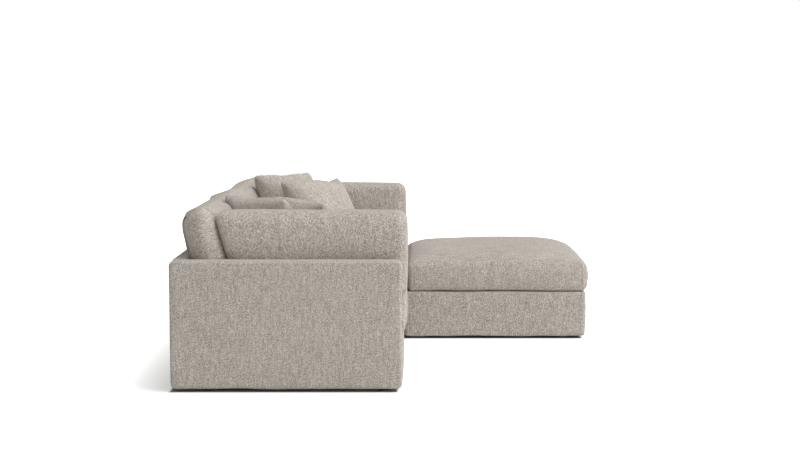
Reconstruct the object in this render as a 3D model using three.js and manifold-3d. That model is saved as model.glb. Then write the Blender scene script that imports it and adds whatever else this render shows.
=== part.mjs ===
// A sectional sofa with a chaise. Two seat cushions lie between padded arm and back panels, with loose
// back, arm and throw cushions on them, and a chaise unit stands against the front of the right seat.
// Lengths are in millimetres: x runs along the sofa, y from front to back and z up. While the pieces are
// made, y is 0 at the front of the arms; at the end the origin moves under the middle of the whole.

import * as THREE from 'three';
import { mergeVertices } from 'three/addons/utils/BufferGeometryUtils.js';
import Module from 'manifold-3d';

const wasm = await Module();
wasm.setup();

// Overall sizes
const sofaLength = 2240;
const sofaDepth = 1052;
const armHeight = 600;
const backHeight = 600;
const armThickness = 80;
const backThickness = 76;
const deckHeight = 258;
const hemHeight = 11;
const chaiseWidth = 945;
const chaiseDepth = 1003;

// Clearances
const touchGap = 0.3;
const cushionClearance = 2;
const cutOverrun = 20;

// Padded covers
const coverThickness = 25;
const seatCoverProud = 12;
const padding = 17;
const paddedEdgeRadius = 16;
const coverEdgeRadius = 9;
const topCornerRadius = 28;
const hemCornerRadius = 25;
const coverCornerRadius = 14;

// Timber, webbing and cloths under the cushions
const frameLift = 24;
const railThickness = 25;
const sideRailInset = 40;
const tenonHeight = 80;
const centreRailDrop = 14;
const windowCornerRadius = 22;
const windowMaxWidth = 190;
const windowWeb = 62;
const dustClothThickness = 2;
const deckThickness = 4;
const deckCornerRadius = 8;
const strapWidth = 60;
const strapThickness = 2.5;
const strapEndInset = 3;
const strapRamp = 14;
const sofaStrapCount = 6;
const chaiseStrapCount = 3;
const lengthStrapCount = 2;

// Feet
const footRadius = 20;
const footTreadRadius = 17;
const footChamfer = 2;
const footInset = 95;

// Seat and chaise cushions
const seatCushionHeight = 160;
const seatSeamLift = 22;
const seatCrown = 60;
const seatEdgeRadius = 16;
const seatDrawIn = 7;
const seatFrontProud = 2;
const seatFrontBulge = 10;
const chaiseCushionProud = 6;
const chaiseSettle = 13;
const chaiseCushionInset = 4;
const chaiseFrontBulge = 11;

// Back cushions
const backCushionThickness = 200;
const backCushionTaper = 42;
const backCushionLength = 418;
const backCushionCrown = 22;
const backCushionEdgeRadius = 30;
const backCushionDrawIn = 8;
const backCushionFootFromPanel = 226;
const backCushionFootRise = 172;
const backCushionLean = THREE.MathUtils.degToRad(16);
const rightBackYaw = THREE.MathUtils.degToRad(4.5);
const rightBackTrim = 18;
const rightBackLift = 18;

// Arm cushions
const armCushionThickness = 200;
const armCushionTop = 813;
const armCushionFootRise = 160;
const armCushionOverhang = 8;
const armCushionFrontProud = 27;
const armCushionEdgeRadius = 28;
const armCushionDrawIn = 5;
const armCushionCrown = 14;
const armCushionTopCrown = 4;
const armCushionTuck = 16;
const armLiftSteps = 3;
const armLiftStep = 16;

// Throw pillows, each set across a corner of the seat. As shares of the pillow's width, a row holds the
// pillow's own width, its middle's distance from the arm cushion's inner face and from the foot of the
// back cushion, and how far it sinks into the seat's crown; the turn and the lean are in degrees.
const pillowWidth = 447;
const pillowThickness = 210;
const pillowDrawIn = 13;
const pillowChopDepth = 10;
const pillowShares = [
  {
    name: 'left_rear_pillow', side: -1, width: 1, fromArm: 0.586, fromBack: 0.295, sink: 0.065,
    yaw: 46, lean: 32,
  },
  {
    name: 'left_front_pillow', side: -1, width: 0.962, fromArm: 0.926, fromBack: 0.7, sink: 0.02,
    yaw: 42, lean: 36,
  },
  {
    name: 'right_rear_pillow', side: 1, width: 0.978, fromArm: 0.564, fromBack: 0.353, sink: 0.02,
    yaw: 43, lean: 28,
  },
  {
    name: 'right_front_pillow', side: 1, width: 1, fromArm: 0.917, fromBack: 0.689, sink: 0.031,
    yaw: 42, lean: 33,
  },
];

// Steps of the curves and grids
const arcSteps = 2;
const edgeSteps = 2;
const footSteps = 14;
const pillowSteps = 11;

// Places that follow from the sizes
const innerHalf = sofaLength / 2 - armThickness;
const backFaceY = sofaDepth - backThickness;
const seatCoverFrontY = -seatCoverProud;
const railFrontY = seatCoverFrontY + coverThickness + touchGap;
const railRearY = backFaceY - touchGap;
const chaiseRearY = seatCoverFrontY - touchGap;
const chaiseCentreX = sofaLength / 2 - chaiseWidth / 2;
const seatCushionBottom = deckHeight + touchGap;
const seatCrownZ = seatCushionBottom + seatCushionHeight + seatSeamLift + seatCrown;
const railBottom = frameLift + dustClothThickness + touchGap;
const railTop = deckHeight - deckThickness - 2 * strapThickness - 3 * touchGap;

// Directions that outlines are drawn in
const alongX = new THREE.Vector3(1, 0, 0);
const alongY = new THREE.Vector3(0, 1, 0);
const alongZ = new THREE.Vector3(0, 0, 1);
const sideOn = new THREE.Matrix4().makeBasis(alongY, alongZ, alongX);
const faceOn = new THREE.Matrix4().makeBasis(alongX, alongZ, alongY.clone().negate());
const flat = new THREE.Matrix4();

// Materials
const upholstery = new THREE.MeshStandardMaterial({ color: 0xb2a89c, roughness: 0.95, metalness: 0 });
const timber = new THREE.MeshStandardMaterial({ color: 0xc9a877, roughness: 0.75, metalness: 0 });
const elasticWebbing = new THREE.MeshStandardMaterial({ color: 0x3f3c38, roughness: 0.9, metalness: 0 });
const deckFelt = new THREE.MeshStandardMaterial({ color: 0x8c8378, roughness: 1, metalness: 0 });
const dustCloth = new THREE.MeshStandardMaterial({ color: 0x26241f, roughness: 1, metalness: 0 });
const footPlastic = new THREE.MeshStandardMaterial({ color: 0x1d1b19, roughness: 0.6, metalness: 0 });

function pieceOf(name, geometry, material) {
  const mesh = new THREE.Mesh(geometry, material);
  mesh.name = name;
  return mesh;
}

// Only the places and faces of a geometry, with the points that faces share joined
function bareGeometry(geometry) {
  const bare = geometry.clone();
  bare.deleteAttribute('normal');
  bare.deleteAttribute('uv');
  return mergeVertices(bare);
}

// Solids for joining and cutting
function solidOf(geometry) {
  const bare = bareGeometry(geometry);
  const mesh = new wasm.Mesh({
    numProp: 3,
    vertProperties: new Float32Array(bare.attributes.position.array),
    triVerts: new Uint32Array(bare.index.array),
  });
  return new wasm.Manifold(mesh);
}

function geometryOf(solid) {
  const { vertProperties, triVerts } = solid.getMesh();
  const geometry = new THREE.BufferGeometry();
  geometry.setAttribute('position', new THREE.BufferAttribute(vertProperties, 3));
  geometry.setIndex(new THREE.BufferAttribute(triVerts, 1));
  geometry.computeVertexNormals();
  return geometry;
}

// A copy that is larger all round by the touching gap
function grownByGap(geometry) {
  const grown = bareGeometry(geometry);
  grown.computeVertexNormals();
  const place = grown.attributes.position;
  const normal = new THREE.Vector3();
  for (let index = 0; index < place.count; index++) {
    const point = new THREE.Vector3().fromBufferAttribute(place, index);
    point.addScaledVector(normal.fromBufferAttribute(grown.attributes.normal, index), touchGap);
    place.setXYZ(index, point.x, point.y, point.z);
  }
  return grown;
}

// A soft piece less each neighbour that presses into it, with the touching gap between them
function pressedBy(geometry, neighbours) {
  let solid = solidOf(geometry);
  for (const neighbour of neighbours) {
    solid = solid.subtract(solidOf(grownByGap(neighbour)));
  }
  return geometryOf(solid);
}

// Outlines
function roundedOutline(path, left, bottom, right, top, lowRadius, highRadius) {
  const quarter = Math.PI / 2;
  path.moveTo(left + lowRadius, bottom);
  path.lineTo(right - lowRadius, bottom);
  path.absarc(right - lowRadius, bottom + lowRadius, lowRadius, -quarter, 0, false);
  path.lineTo(right, top - highRadius);
  path.absarc(right - highRadius, top - highRadius, highRadius, 0, quarter, false);
  path.lineTo(left + highRadius, top);
  path.absarc(left + highRadius, top - highRadius, highRadius, quarter, 2 * quarter, false);
  path.lineTo(left, bottom + lowRadius);
  path.absarc(left + lowRadius, bottom + lowRadius, lowRadius, 2 * quarter, 3 * quarter, false);
  return path;
}

function squareOutline(path, left, bottom, right, top) {
  path.moveTo(left, bottom);
  path.lineTo(right, bottom);
  path.lineTo(right, top);
  path.lineTo(left, top);
  path.closePath();
  return path;
}

// An outline made into a slab whose middle plane holds the outline, with its edges rounded
function slab(shape, thickness, edgeRadius, basis) {
  const core = thickness - 2 * edgeRadius;
  const geometry = new THREE.ExtrudeGeometry(shape, {
    depth: core,
    curveSegments: arcSteps,
    bevelEnabled: edgeRadius > 0,
    bevelThickness: edgeRadius,
    bevelSize: edgeRadius,
    bevelOffset: -edgeRadius,
    bevelSegments: edgeSteps,
  });
  geometry.translate(0, 0, -core / 2);
  geometry.applyMatrix4(basis);
  return geometry;
}

function block(xMin, xMax, yMin, yMax, zMin, zMax) {
  const geometry = new THREE.BoxGeometry(xMax - xMin, yMax - yMin, zMax - zMin);
  geometry.translate((xMin + xMax) / 2, (yMin + yMax) / 2, (zMin + zMax) / 2);
  return geometry;
}

// Arm and back panels: a routed timber frame inside a padded cover that is open under the hem
function framePanel(left, right, bottom, top, thickness, basis) {
  const shape = squareOutline(new THREE.Shape(), left, bottom, right, top);
  const columns = Math.ceil((right - left - windowWeb) / (windowMaxWidth + windowWeb));
  const rows = Math.ceil((top - bottom - windowWeb) / (windowMaxWidth + windowWeb));
  const windowWidth = (right - left - windowWeb) / columns - windowWeb;
  const windowHeight = (top - bottom - windowWeb) / rows - windowWeb;
  for (let column = 0; column < columns; column++) {
    for (let row = 0; row < rows; row++) {
      const x = left + windowWeb + column * (windowWidth + windowWeb);
      const z = bottom + windowWeb + row * (windowHeight + windowWeb);
      const opening = new THREE.Path();
      const radius = windowCornerRadius;
      roundedOutline(opening, x, z, x + windowWidth, z + windowHeight, radius, radius);
      shape.holes.push(opening);
    }
  }
  return slab(shape, thickness, 0, basis);
}

function paddedPanel(left, right, top, thickness, basis) {
  const shape = new THREE.Shape();
  roundedOutline(shape, left, hemHeight, right, top, hemCornerRadius, topCornerRadius);
  return slab(shape, thickness, paddedEdgeRadius, basis);
}

function armCoverGeometry(side) {
  const middleX = side * (innerHalf + armThickness / 2);
  return paddedPanel(0, sofaDepth, armHeight, armThickness, sideOn).translate(middleX, 0, 0);
}

function armPieces(side, name) {
  const middleX = side * (innerHalf + armThickness / 2);
  const frameThickness = armThickness - 2 * padding;
  const frameRear = sofaDepth - padding;
  const frameTop = armHeight - padding;
  const frame = framePanel(padding, frameRear, frameLift, frameTop, frameThickness, sideOn);
  frame.translate(middleX, 0, 0);
  const pocketHalf = frameThickness / 2 + touchGap;
  const pocket = block(middleX - pocketHalf, middleX + pocketHalf, padding - touchGap, frameRear + touchGap,
    hemHeight - cutOverrun, frameTop + touchGap);
  const cover = solidOf(armCoverGeometry(side)).subtract(solidOf(pocket));
  return [
    pieceOf(`${name}_arm_frame`, frame, timber),
    pieceOf(`${name}_arm_cover`, geometryOf(cover), upholstery),
  ];
}

function backCoverGeometry() {
  const half = innerHalf - touchGap;
  const panel = paddedPanel(-half, half, backHeight, backThickness, faceOn);
  return panel.translate(0, backFaceY + backThickness / 2, 0);
}

function backPieces() {
  const middleY = backFaceY + backThickness / 2;
  const frameThickness = backThickness - 2 * padding;
  const frameHalf = innerHalf - touchGap - padding;
  const frameTop = backHeight - padding;
  const frame = framePanel(-frameHalf, frameHalf, frameLift, frameTop, frameThickness, faceOn);
  frame.translate(0, middleY, 0);
  const pocketHalf = frameThickness / 2 + touchGap;
  const pocket = block(-frameHalf - touchGap, frameHalf + touchGap,
    middleY - pocketHalf, middleY + pocketHalf, hemHeight - cutOverrun, frameTop + touchGap);
  const cover = solidOf(backCoverGeometry()).subtract(solidOf(pocket));
  return [
    pieceOf('back_frame', frame, timber),
    pieceOf('back_cover', geometryOf(cover), upholstery),
  ];
}

// Rails: the front and rear ones carry mortises, and the others pass tenons through them
function crossRail(left, right, tenonPlaces) {
  const middle = (railBottom + railTop) / 2;
  const halfThickness = railThickness / 2;
  const halfWidth = halfThickness + touchGap;
  const halfHeight = tenonHeight / 2 + touchGap;
  let rail = solidOf(block(left, right, -halfThickness, halfThickness, railBottom, railTop));
  for (const x of tenonPlaces) {
    const mortise = block(x - halfWidth, x + halfWidth, -railThickness, railThickness,
      middle - halfHeight, middle + halfHeight);
    rail = rail.subtract(solidOf(mortise));
  }
  return geometryOf(rail);
}

function tenonedRail(front, rear, top) {
  const shoulderFront = front + railThickness + touchGap;
  const shoulderRear = rear - railThickness - touchGap;
  const middle = (railBottom + railTop) / 2;
  const tenonLow = middle - tenonHeight / 2;
  const tenonHigh = middle + tenonHeight / 2;
  const shape = new THREE.Shape([
    [shoulderFront, railBottom], [shoulderRear, railBottom], [shoulderRear, tenonLow], [rear, tenonLow],
    [rear, tenonHigh], [shoulderRear, tenonHigh], [shoulderRear, top], [shoulderFront, top],
    [shoulderFront, tenonHigh], [front, tenonHigh], [front, tenonLow], [shoulderFront, tenonLow],
  ].map(([y, z]) => new THREE.Vector2(y, z)));
  return slab(shape, railThickness, 0, sideOn);
}

// A strap drawn from the side: it lies flat, and rises over each strap that it crosses on top
function strapGeometry(start, end, overAt, basis) {
  const rise = strapThickness + touchGap;
  const flatHalf = strapWidth / 2 + strapEndInset;
  const line = [[start, 0]];
  for (const place of overAt) {
    line.push([place - flatHalf - strapRamp, 0], [place - flatHalf, rise]);
    line.push([place + flatHalf, rise], [place + flatHalf + strapRamp, 0]);
  }
  line.push([end, 0]);
  const under = line.map(([along, z]) => new THREE.Vector2(along, z));
  const over = line.map(([along, z]) => new THREE.Vector2(along, z + strapThickness)).reverse();
  return slab(new THREE.Shape([...under, ...over]), strapWidth, 0, basis);
}

function evenPlaces(from, to, count) {
  return Array.from({ length: count }, (_, index) => from + (to - from) * (index + 0.5) / count);
}

function webbing(prefix, area, acrossCount, alongCount) {
  const { left, right, front, rear } = area;
  const acrossPlaces = evenPlaces(left + sideRailInset, right - sideRailInset, acrossCount);
  const alongPlaces = evenPlaces(front + railThickness, rear - railThickness, alongCount);
  const pieces = [];
  acrossPlaces.forEach((x, across) => {
    const overAt = alongPlaces.filter((_, along) => (across + along) % 2 === 0);
    const strap = strapGeometry(front + strapEndInset, rear - strapEndInset, overAt, sideOn);
    strap.translate(x, 0, railTop + touchGap);
    pieces.push(pieceOf(`${prefix}_strap_${across + 1}`, strap, elasticWebbing));
  });
  alongPlaces.forEach((y, along) => {
    const overAt = acrossPlaces.filter((_, across) => (across + along) % 2 === 1);
    const railInset = sideRailInset + strapEndInset;
    const strap = strapGeometry(left + railInset, right - railInset, overAt, faceOn);
    strap.translate(0, y, railTop + touchGap);
    pieces.push(pieceOf(`${prefix}_long_strap_${along + 1}`, strap, elasticWebbing));
  });
  return pieces;
}

// The box under the cushions: tenoned rails, woven straps on top of them, and a cloth above and below
function supportBox(prefix, area, acrossCount, hasCentreRail) {
  const { left, right, front, rear } = area;
  const sideRailX = [left + sideRailInset + railThickness / 2, right - sideRailInset - railThickness / 2];
  const centreRailX = hasCentreRail ? [(left + right) / 2] : [];
  const cross = crossRail(left, right, [...sideRailX, ...centreRailX]);
  const frontRail = cross.clone().translate(0, front + railThickness / 2, 0);
  const rearRail = cross.clone().translate(0, rear - railThickness / 2, 0);
  const sideRail = tenonedRail(front, rear, railTop);
  const pieces = [
    pieceOf(`${prefix}_front_rail`, frontRail, timber),
    pieceOf(`${prefix}_rear_rail`, rearRail, timber),
    pieceOf(`${prefix}_left_rail`, sideRail.clone().translate(sideRailX[0], 0, 0), timber),
    pieceOf(`${prefix}_right_rail`, sideRail.clone().translate(sideRailX[1], 0, 0), timber),
  ];
  for (const x of centreRailX) {
    const centreRail = tenonedRail(front, rear, railTop - centreRailDrop).translate(x, 0, 0);
    pieces.push(pieceOf(`${prefix}_centre_rail`, centreRail, timber));
  }
  pieces.push(...webbing(prefix, area, acrossCount, lengthStrapCount));
  const clothShape = new THREE.Shape();
  roundedOutline(clothShape, left, front, right, rear, deckCornerRadius, deckCornerRadius);
  const deck = slab(clothShape, deckThickness, 0, flat).translate(0, 0, deckHeight - deckThickness / 2);
  const dust = slab(clothShape, dustClothThickness, 0, flat);
  dust.translate(0, 0, frameLift + dustClothThickness / 2);
  pieces.push(pieceOf(`${prefix}_deck`, deck, deckFelt));
  pieces.push(pieceOf(`${prefix}_dust_cover`, dust, dustCloth));
  return pieces;
}

// Glide feet, turned, with a chamfered tread
function footGeometry() {
  const height = frameLift - touchGap;
  const profile = [
    [0, 0], [footTreadRadius - footChamfer, 0], [footTreadRadius, footChamfer],
    [footRadius, height], [0, height],
  ].map(([radius, z]) => new THREE.Vector2(radius, z));
  return new THREE.LatheGeometry(profile, footSteps).rotateX(Math.PI / 2);
}

function feet(prefix, xPlaces, yPlaces) {
  const pieces = [];
  for (const [xName, x] of xPlaces) {
    for (const [yName, y] of yPlaces) {
      const foot = pieceOf(`${prefix}_${xName}_${yName}_foot`, footGeometry(), footPlastic);
      foot.position.set(x, y, 0);
      pieces.push(foot);
    }
  }
  return pieces;
}

function seatFrontCover() {
  const half = innerHalf - touchGap;
  const shape = new THREE.Shape();
  roundedOutline(shape, -half, hemHeight, half, deckHeight, coverCornerRadius, coverCornerRadius);
  const cover = slab(shape, coverThickness, coverEdgeRadius, faceOn);
  cover.translate(0, seatCoverFrontY + coverThickness / 2, 0);
  return pieceOf('seat_front_cover', cover, upholstery);
}

// The chaise's cover: one padded ring, mitred into four panels at the corners
function chaiseCoverPanels() {
  const half = chaiseWidth / 2;
  const ringShape = new THREE.Shape();
  roundedOutline(ringShape, -half, -chaiseDepth, half, 0, coverCornerRadius, coverCornerRadius);
  const ringHeight = deckHeight - hemHeight;
  const outer = slab(ringShape, ringHeight, coverEdgeRadius, flat);
  outer.translate(0, 0, hemHeight + ringHeight / 2);
  const inner = block(-half + coverThickness, half - coverThickness,
    -chaiseDepth + coverThickness, -coverThickness, hemHeight - cutOverrun, deckHeight + cutOverrun);
  const ring = solidOf(outer).subtract(solidOf(inner));
  const reach = coverThickness + cutOverrun;
  const sides = [
    { name: 'front', from: [-half, -chaiseDepth], to: [half, -chaiseDepth], inward: [0, 1] },
    { name: 'right', from: [half, -chaiseDepth], to: [half, 0], inward: [-1, 0] },
    { name: 'rear', from: [half, 0], to: [-half, 0], inward: [0, -1] },
    { name: 'left', from: [-half, 0], to: [-half, -chaiseDepth], inward: [1, 0] },
  ];
  return sides.map(({ name, from, to, inward }) => {
    const start = new THREE.Vector2(...from);
    const end = new THREE.Vector2(...to);
    const along = end.clone().sub(start).normalize();
    const inwards = new THREE.Vector2(...inward);
    const corner = (point, shift, depth) =>
      point.clone().addScaledVector(along, shift).addScaledVector(inwards, depth);
    const mitre = new THREE.Shape([
      corner(start, touchGap - cutOverrun, -cutOverrun), corner(end, cutOverrun - touchGap, -cutOverrun),
      corner(end, -reach - touchGap, reach), corner(start, reach + touchGap, reach),
    ]);
    const wedge = slab(mitre, deckHeight + cutOverrun, 0, flat).translate(0, 0, deckHeight / 2);
    return pieceOf(`chaise_${name}_cover`, geometryOf(ring.intersect(solidOf(wedge))), upholstery);
  });
}

// A share from -1 to 1, moved towards the nearer edge so that the grid is finer there
const edgeCrowding = 1.6;
function nearEdge(share) {
  return Math.sign(share) * (1 - (1 - Math.abs(share)) ** edgeCrowding);
}

// A boxed cushion about its own middle: its edges are rounded, its seams draw in between the corners, and
// the faces above and below move by what rise and press say for the shares of the width and the depth
function cushionGeometry({ width, depth, height, columns, rows, layers, edgeRadius, drawIn, rise, press }) {
  const geometry = new THREE.BoxGeometry(2, 2, 2, columns, rows, layers);
  const half = new THREE.Vector3(width / 2, depth / 2, height / 2);
  const innerHigh = half.clone().subScalar(edgeRadius);
  const innerLow = innerHigh.clone().negate();
  const place = geometry.attributes.position;
  for (let index = 0; index < place.count; index++) {
    const share = new THREE.Vector3().fromBufferAttribute(place, index);
    share.x = nearEdge(share.x);
    share.y = nearEdge(share.y);
    const point = share.clone().multiply(half);
    const core = point.clone().clamp(innerLow, innerHigh);
    const outward = point.sub(core).normalize();
    const rounded = core.addScaledVector(outward, edgeRadius);
    rounded.x -= share.x * drawIn * (1 - share.y ** 2) * share.z ** 2;
    rounded.y -= share.y * drawIn * (1 - share.x ** 2) * share.z ** 2;
    const upShare = (share.z + 1) / 2;
    const lift = upShare * rise(share.x, share.y) + (1 - upShare) * (press ? press(share.x, share.y) : 0);
    place.setXYZ(index, rounded.x, rounded.y, rounded.z + lift);
  }
  return geometry;
}

// How full a crown is at a share of the width, for a flat middle and soft edges
function crownShare(share, power) {
  return 1 - Math.abs(share) ** power;
}

// Bulges the face at the front, most at half height and in the middle of the width
function bulgeFront(geometry, halfWidth, frontY, halfHeight, bulge) {
  const place = geometry.attributes.position;
  for (let index = 0; index < place.count; index++) {
    const across = Math.min(Math.abs(place.getX(index)) / halfWidth, 1);
    const up = Math.min(Math.abs(place.getZ(index)) / halfHeight, 1);
    const reach = Math.max(place.getY(index) / frontY, 0);
    const amount = bulge * reach ** 4 * (1 - across ** 4) * (1 - up ** 2);
    place.setY(index, place.getY(index) - amount);
  }
  return geometry;
}

// Seat cushions: the crown is full at the front and pressed flat under the back cushion
const seatCrownPowers = [3.2, 5];
const crownEndShare = 0.52;
function seatRise(across, along) {
  const sideways = crownShare(across, seatCrownPowers[1]);
  const towardsFront = crownShare(Math.min(along, 0), seatCrownPowers[0]);
  const towardsBack = 1 - THREE.MathUtils.smoothstep(along, 0, crownEndShare);
  const seam = seatSeamLift * (1 - across ** 2 * along ** 2);
  return seam + seatCrown * sideways * Math.min(towardsFront, towardsBack);
}

function seatCushionGeometry(side) {
  const width = innerHalf - 2 * cushionClearance;
  const front = seatCoverFrontY - seatFrontProud;
  const rear = backFaceY - cushionClearance;
  const depth = rear - front;
  const geometry = cushionGeometry({
    width, depth, height: seatCushionHeight, columns: 10, rows: 12, layers: 4,
    edgeRadius: seatEdgeRadius, drawIn: seatDrawIn, rise: seatRise,
  });
  bulgeFront(geometry, width / 2, -depth / 2, seatCushionHeight / 2, seatFrontBulge);
  const middleZ = seatCushionBottom + seatCushionHeight / 2;
  return geometry.translate(side * innerHalf / 2, (front + rear) / 2, middleZ);
}

function chaiseRise(across, along) {
  const sideways = crownShare(across, seatCrownPowers[1]);
  const lengthways = crownShare(along, seatCrownPowers[0] + seatCrownPowers[1]);
  const softFront = crownShare(Math.min(along, 0), seatCrownPowers[0]);
  const seam = seatSeamLift * (1 - across ** 2 * along ** 2);
  const crown = seatCrown - chaiseSettle * THREE.MathUtils.smoothstep(along, -0.5, 0.5);
  return seam + crown * sideways * Math.min(lengthways, softFront);
}

function chaiseCushion() {
  const width = chaiseWidth - 2 * chaiseCushionInset;
  const front = -chaiseDepth - chaiseCushionProud;
  const rear = seatCoverProud - armCushionFrontProud - cushionClearance;
  const depth = rear - front;
  const geometry = cushionGeometry({
    width, depth, height: seatCushionHeight, columns: 10, rows: 12, layers: 4,
    edgeRadius: seatEdgeRadius, drawIn: seatDrawIn, rise: chaiseRise,
  });
  bulgeFront(geometry, width / 2, -depth / 2, seatCushionHeight / 2, chaiseFrontBulge);
  geometry.translate(0, (front + rear) / 2, seatCushionBottom + seatCushionHeight / 2);
  return pieceOf('chaise_cushion', geometry, upholstery);
}

// Back cushions: the crowned face leans back, the rear face tapers in towards the top
// The end of a cushion's upper edge stands higher than its middle
function liftEnd(geometry, endX, length, lift) {
  const place = geometry.attributes.position;
  for (let index = 0; index < place.count; index++) {
    const towardsEnd = THREE.MathUtils.smoothstep(place.getX(index) / endX, 0, 1);
    const up = place.getY(index) / length + 0.5;
    place.setY(index, place.getY(index) + lift * towardsEnd * up);
  }
}

function backCushionGeometry(side) {
  const isRight = side > 0;
  const width = innerHalf - 2 * cushionClearance - (isRight ? rightBackTrim : 0);
  const geometry = cushionGeometry({
    width, depth: backCushionLength, height: backCushionThickness, columns: 11, rows: 7, layers: 4,
    edgeRadius: backCushionEdgeRadius, drawIn: backCushionDrawIn,
    rise: (across, up) => backCushionCrown * crownShare(across, 4) * crownShare(up, 4),
    press: (across, up) => backCushionTaper * (up + 1) / 2,
  });
  if (isRight) {
    liftEnd(geometry, width / 2, backCushionLength, rightBackLift);
  }
  geometry.translate(0, backCushionLength / 2, -backCushionThickness / 2);
  geometry.rotateX(Math.PI / 2 - backCushionLean);
  const yaw = isRight ? rightBackYaw : 0;
  geometry.rotateZ(-yaw);
  const footY = backFaceY - backCushionFootFromPanel;
  return geometry.translate(side * innerHalf / 2, footY, deckHeight + backCushionFootRise);
}

// Arm cushions: they stand on the seat against the arm, and their rear end follows the back cushion's lean
function armCushionGeometry(side) {
  const outerX = innerHalf + armCushionOverhang;
  const innerX = innerHalf - armCushionThickness;
  const bottom = deckHeight + armCushionFootRise;
  const height = armCushionTop - bottom;
  const front = -armCushionFrontProud;
  const rear = backFaceY - backCushionFootFromPanel + backCushionEdgeRadius + armCushionTuck;
  const depth = rear - front;
  const geometry = cushionGeometry({
    width: outerX - innerX, depth, height, columns: 3, rows: 10, layers: 5,
    edgeRadius: armCushionEdgeRadius, drawIn: armCushionDrawIn,
    rise: (across, along) => armCushionTopCrown * crownShare(along, 4),
  });
  const place = geometry.attributes.position;
  for (let index = 0; index < place.count; index++) {
    const along = place.getY(index) / depth + 0.5;
    const up = place.getZ(index) / height + 0.5;
    const inner = Math.max(-side * place.getX(index) / ((outerX - innerX) / 2), 0);
    const crown = armCushionCrown * inner * crownShare(2 * along - 1, 4) * crownShare(2 * up - 1, 2);
    const lean = along * up * height * Math.tan(backCushionLean);
    place.setXYZ(index, place.getX(index) - side * crown, place.getY(index) + lean, place.getZ(index));
  }
  return geometry.translate(side * (outerX + innerX) / 2, (front + rear) / 2, bottom + height / 2);
}

// Throw pillows: two crowned faces that meet in a knife edge, drawn in between eared corners, and
// pressed down in the middle of the top edge
const pillowFullness = 0.47;
const chopWidthShare = 0.34;
function pillowGeometry(width) {
  const rows = pillowSteps + 1;
  const points = [];
  const faces = [];
  const indexAt = new Map();
  const addPoint = (column, row, face) => {
    const a = nearEdge(2 * column / pillowSteps - 1);
    const b = nearEdge(2 * row / pillowSteps - 1);
    const fullness = ((1 - a ** 2) * (1 - b ** 2)) ** pillowFullness;
    const chop = pillowChopDepth * Math.exp(-((a / chopWidthShare) ** 2)) * Math.max(b, 0) ** 2;
    const x = a * (width / 2 - pillowDrawIn * (1 - b ** 2));
    const y = b * (width / 2 - pillowDrawIn * (1 - a ** 2)) - chop;
    points.push(x, y, face * fullness * pillowThickness / 2);
    return points.length / 3 - 1;
  };
  for (const face of [1, -1]) {
    for (let row = 0; row < rows; row++) {
      for (let column = 0; column < rows; column++) {
        const onEdge = row === 0 || column === 0 || row === pillowSteps || column === pillowSteps;
        const key = `${onEdge ? 0 : face},${column},${row}`;
        if (!indexAt.has(key)) {
          indexAt.set(key, addPoint(column, row, onEdge ? 0 : face));
        }
      }
    }
  }
  const at = (column, row, face) => {
    const onEdge = row === 0 || column === 0 || row === pillowSteps || column === pillowSteps;
    return indexAt.get(`${onEdge ? 0 : face},${column},${row}`);
  };
  for (const face of [1, -1]) {
    for (let row = 0; row < pillowSteps; row++) {
      for (let column = 0; column < pillowSteps; column++) {
        const corners = [
          at(column, row, face), at(column + 1, row, face),
          at(column + 1, row + 1, face), at(column, row + 1, face),
        ];
        const ring = face > 0 ? corners : corners.reverse();
        faces.push(ring[0], ring[1], ring[2], ring[0], ring[2], ring[3]);
      }
    }
  }
  const geometry = new THREE.BufferGeometry();
  geometry.setAttribute('position', new THREE.Float32BufferAttribute(points, 3));
  geometry.setIndex(faces);
  return geometry;
}

function placedPillow(shares) {
  const { side, yaw } = shares;
  const leanAngle = THREE.MathUtils.degToRad(shares.lean);
  const width = shares.width * pillowWidth;
  const x = side * (innerHalf - armCushionThickness - shares.fromArm * pillowWidth);
  const y = backFaceY - backCushionFootFromPanel - shares.fromBack * pillowWidth;
  const z = seatCrownZ + width / 2 * Math.cos(leanAngle) - shares.sink * pillowWidth;
  const geometry = pillowGeometry(width);
  geometry.rotateX(Math.PI / 2 - leanAngle);
  geometry.rotateZ(-side * THREE.MathUtils.degToRad(yaw));
  return geometry.translate(x, y, z);
}

// The loose cushions of one side, each pressed by what it rests on and leans against. The arm cushion's end
// also clears the underside of the back cushion's lower edge, so that it can be lifted past it.
function sideCushions(side, name) {
  const seat = seatCushionGeometry(side);
  const backCover = backCoverGeometry();
  const armCover = armCoverGeometry(side);
  const back = pressedBy(backCushionGeometry(side), [seat, backCover, armCover]);
  const backBelow = Array.from({ length: armLiftSteps }, (_, step) =>
    back.clone().translate(0, 0, -armLiftStep * (step + 1)));
  const arm = pressedBy(armCushionGeometry(side), [seat, back, ...backBelow, armCover]);
  const [rearPlace, frontPlace] = pillowShares.filter((pillow) => pillow.side === side);
  const rearPillow = pressedBy(placedPillow(rearPlace), [seat, back, arm]);
  const frontPillow = pressedBy(placedPillow(frontPlace), [seat, back, arm, rearPillow]);
  return [
    pieceOf(`${name}_seat_cushion`, seat, upholstery),
    pieceOf(`${name}_back_cushion`, back, upholstery),
    pieceOf(`${name}_arm_cushion`, arm, upholstery),
    pieceOf(rearPlace.name, rearPillow, upholstery),
    pieceOf(frontPlace.name, frontPillow, upholstery),
  ];
}

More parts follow.
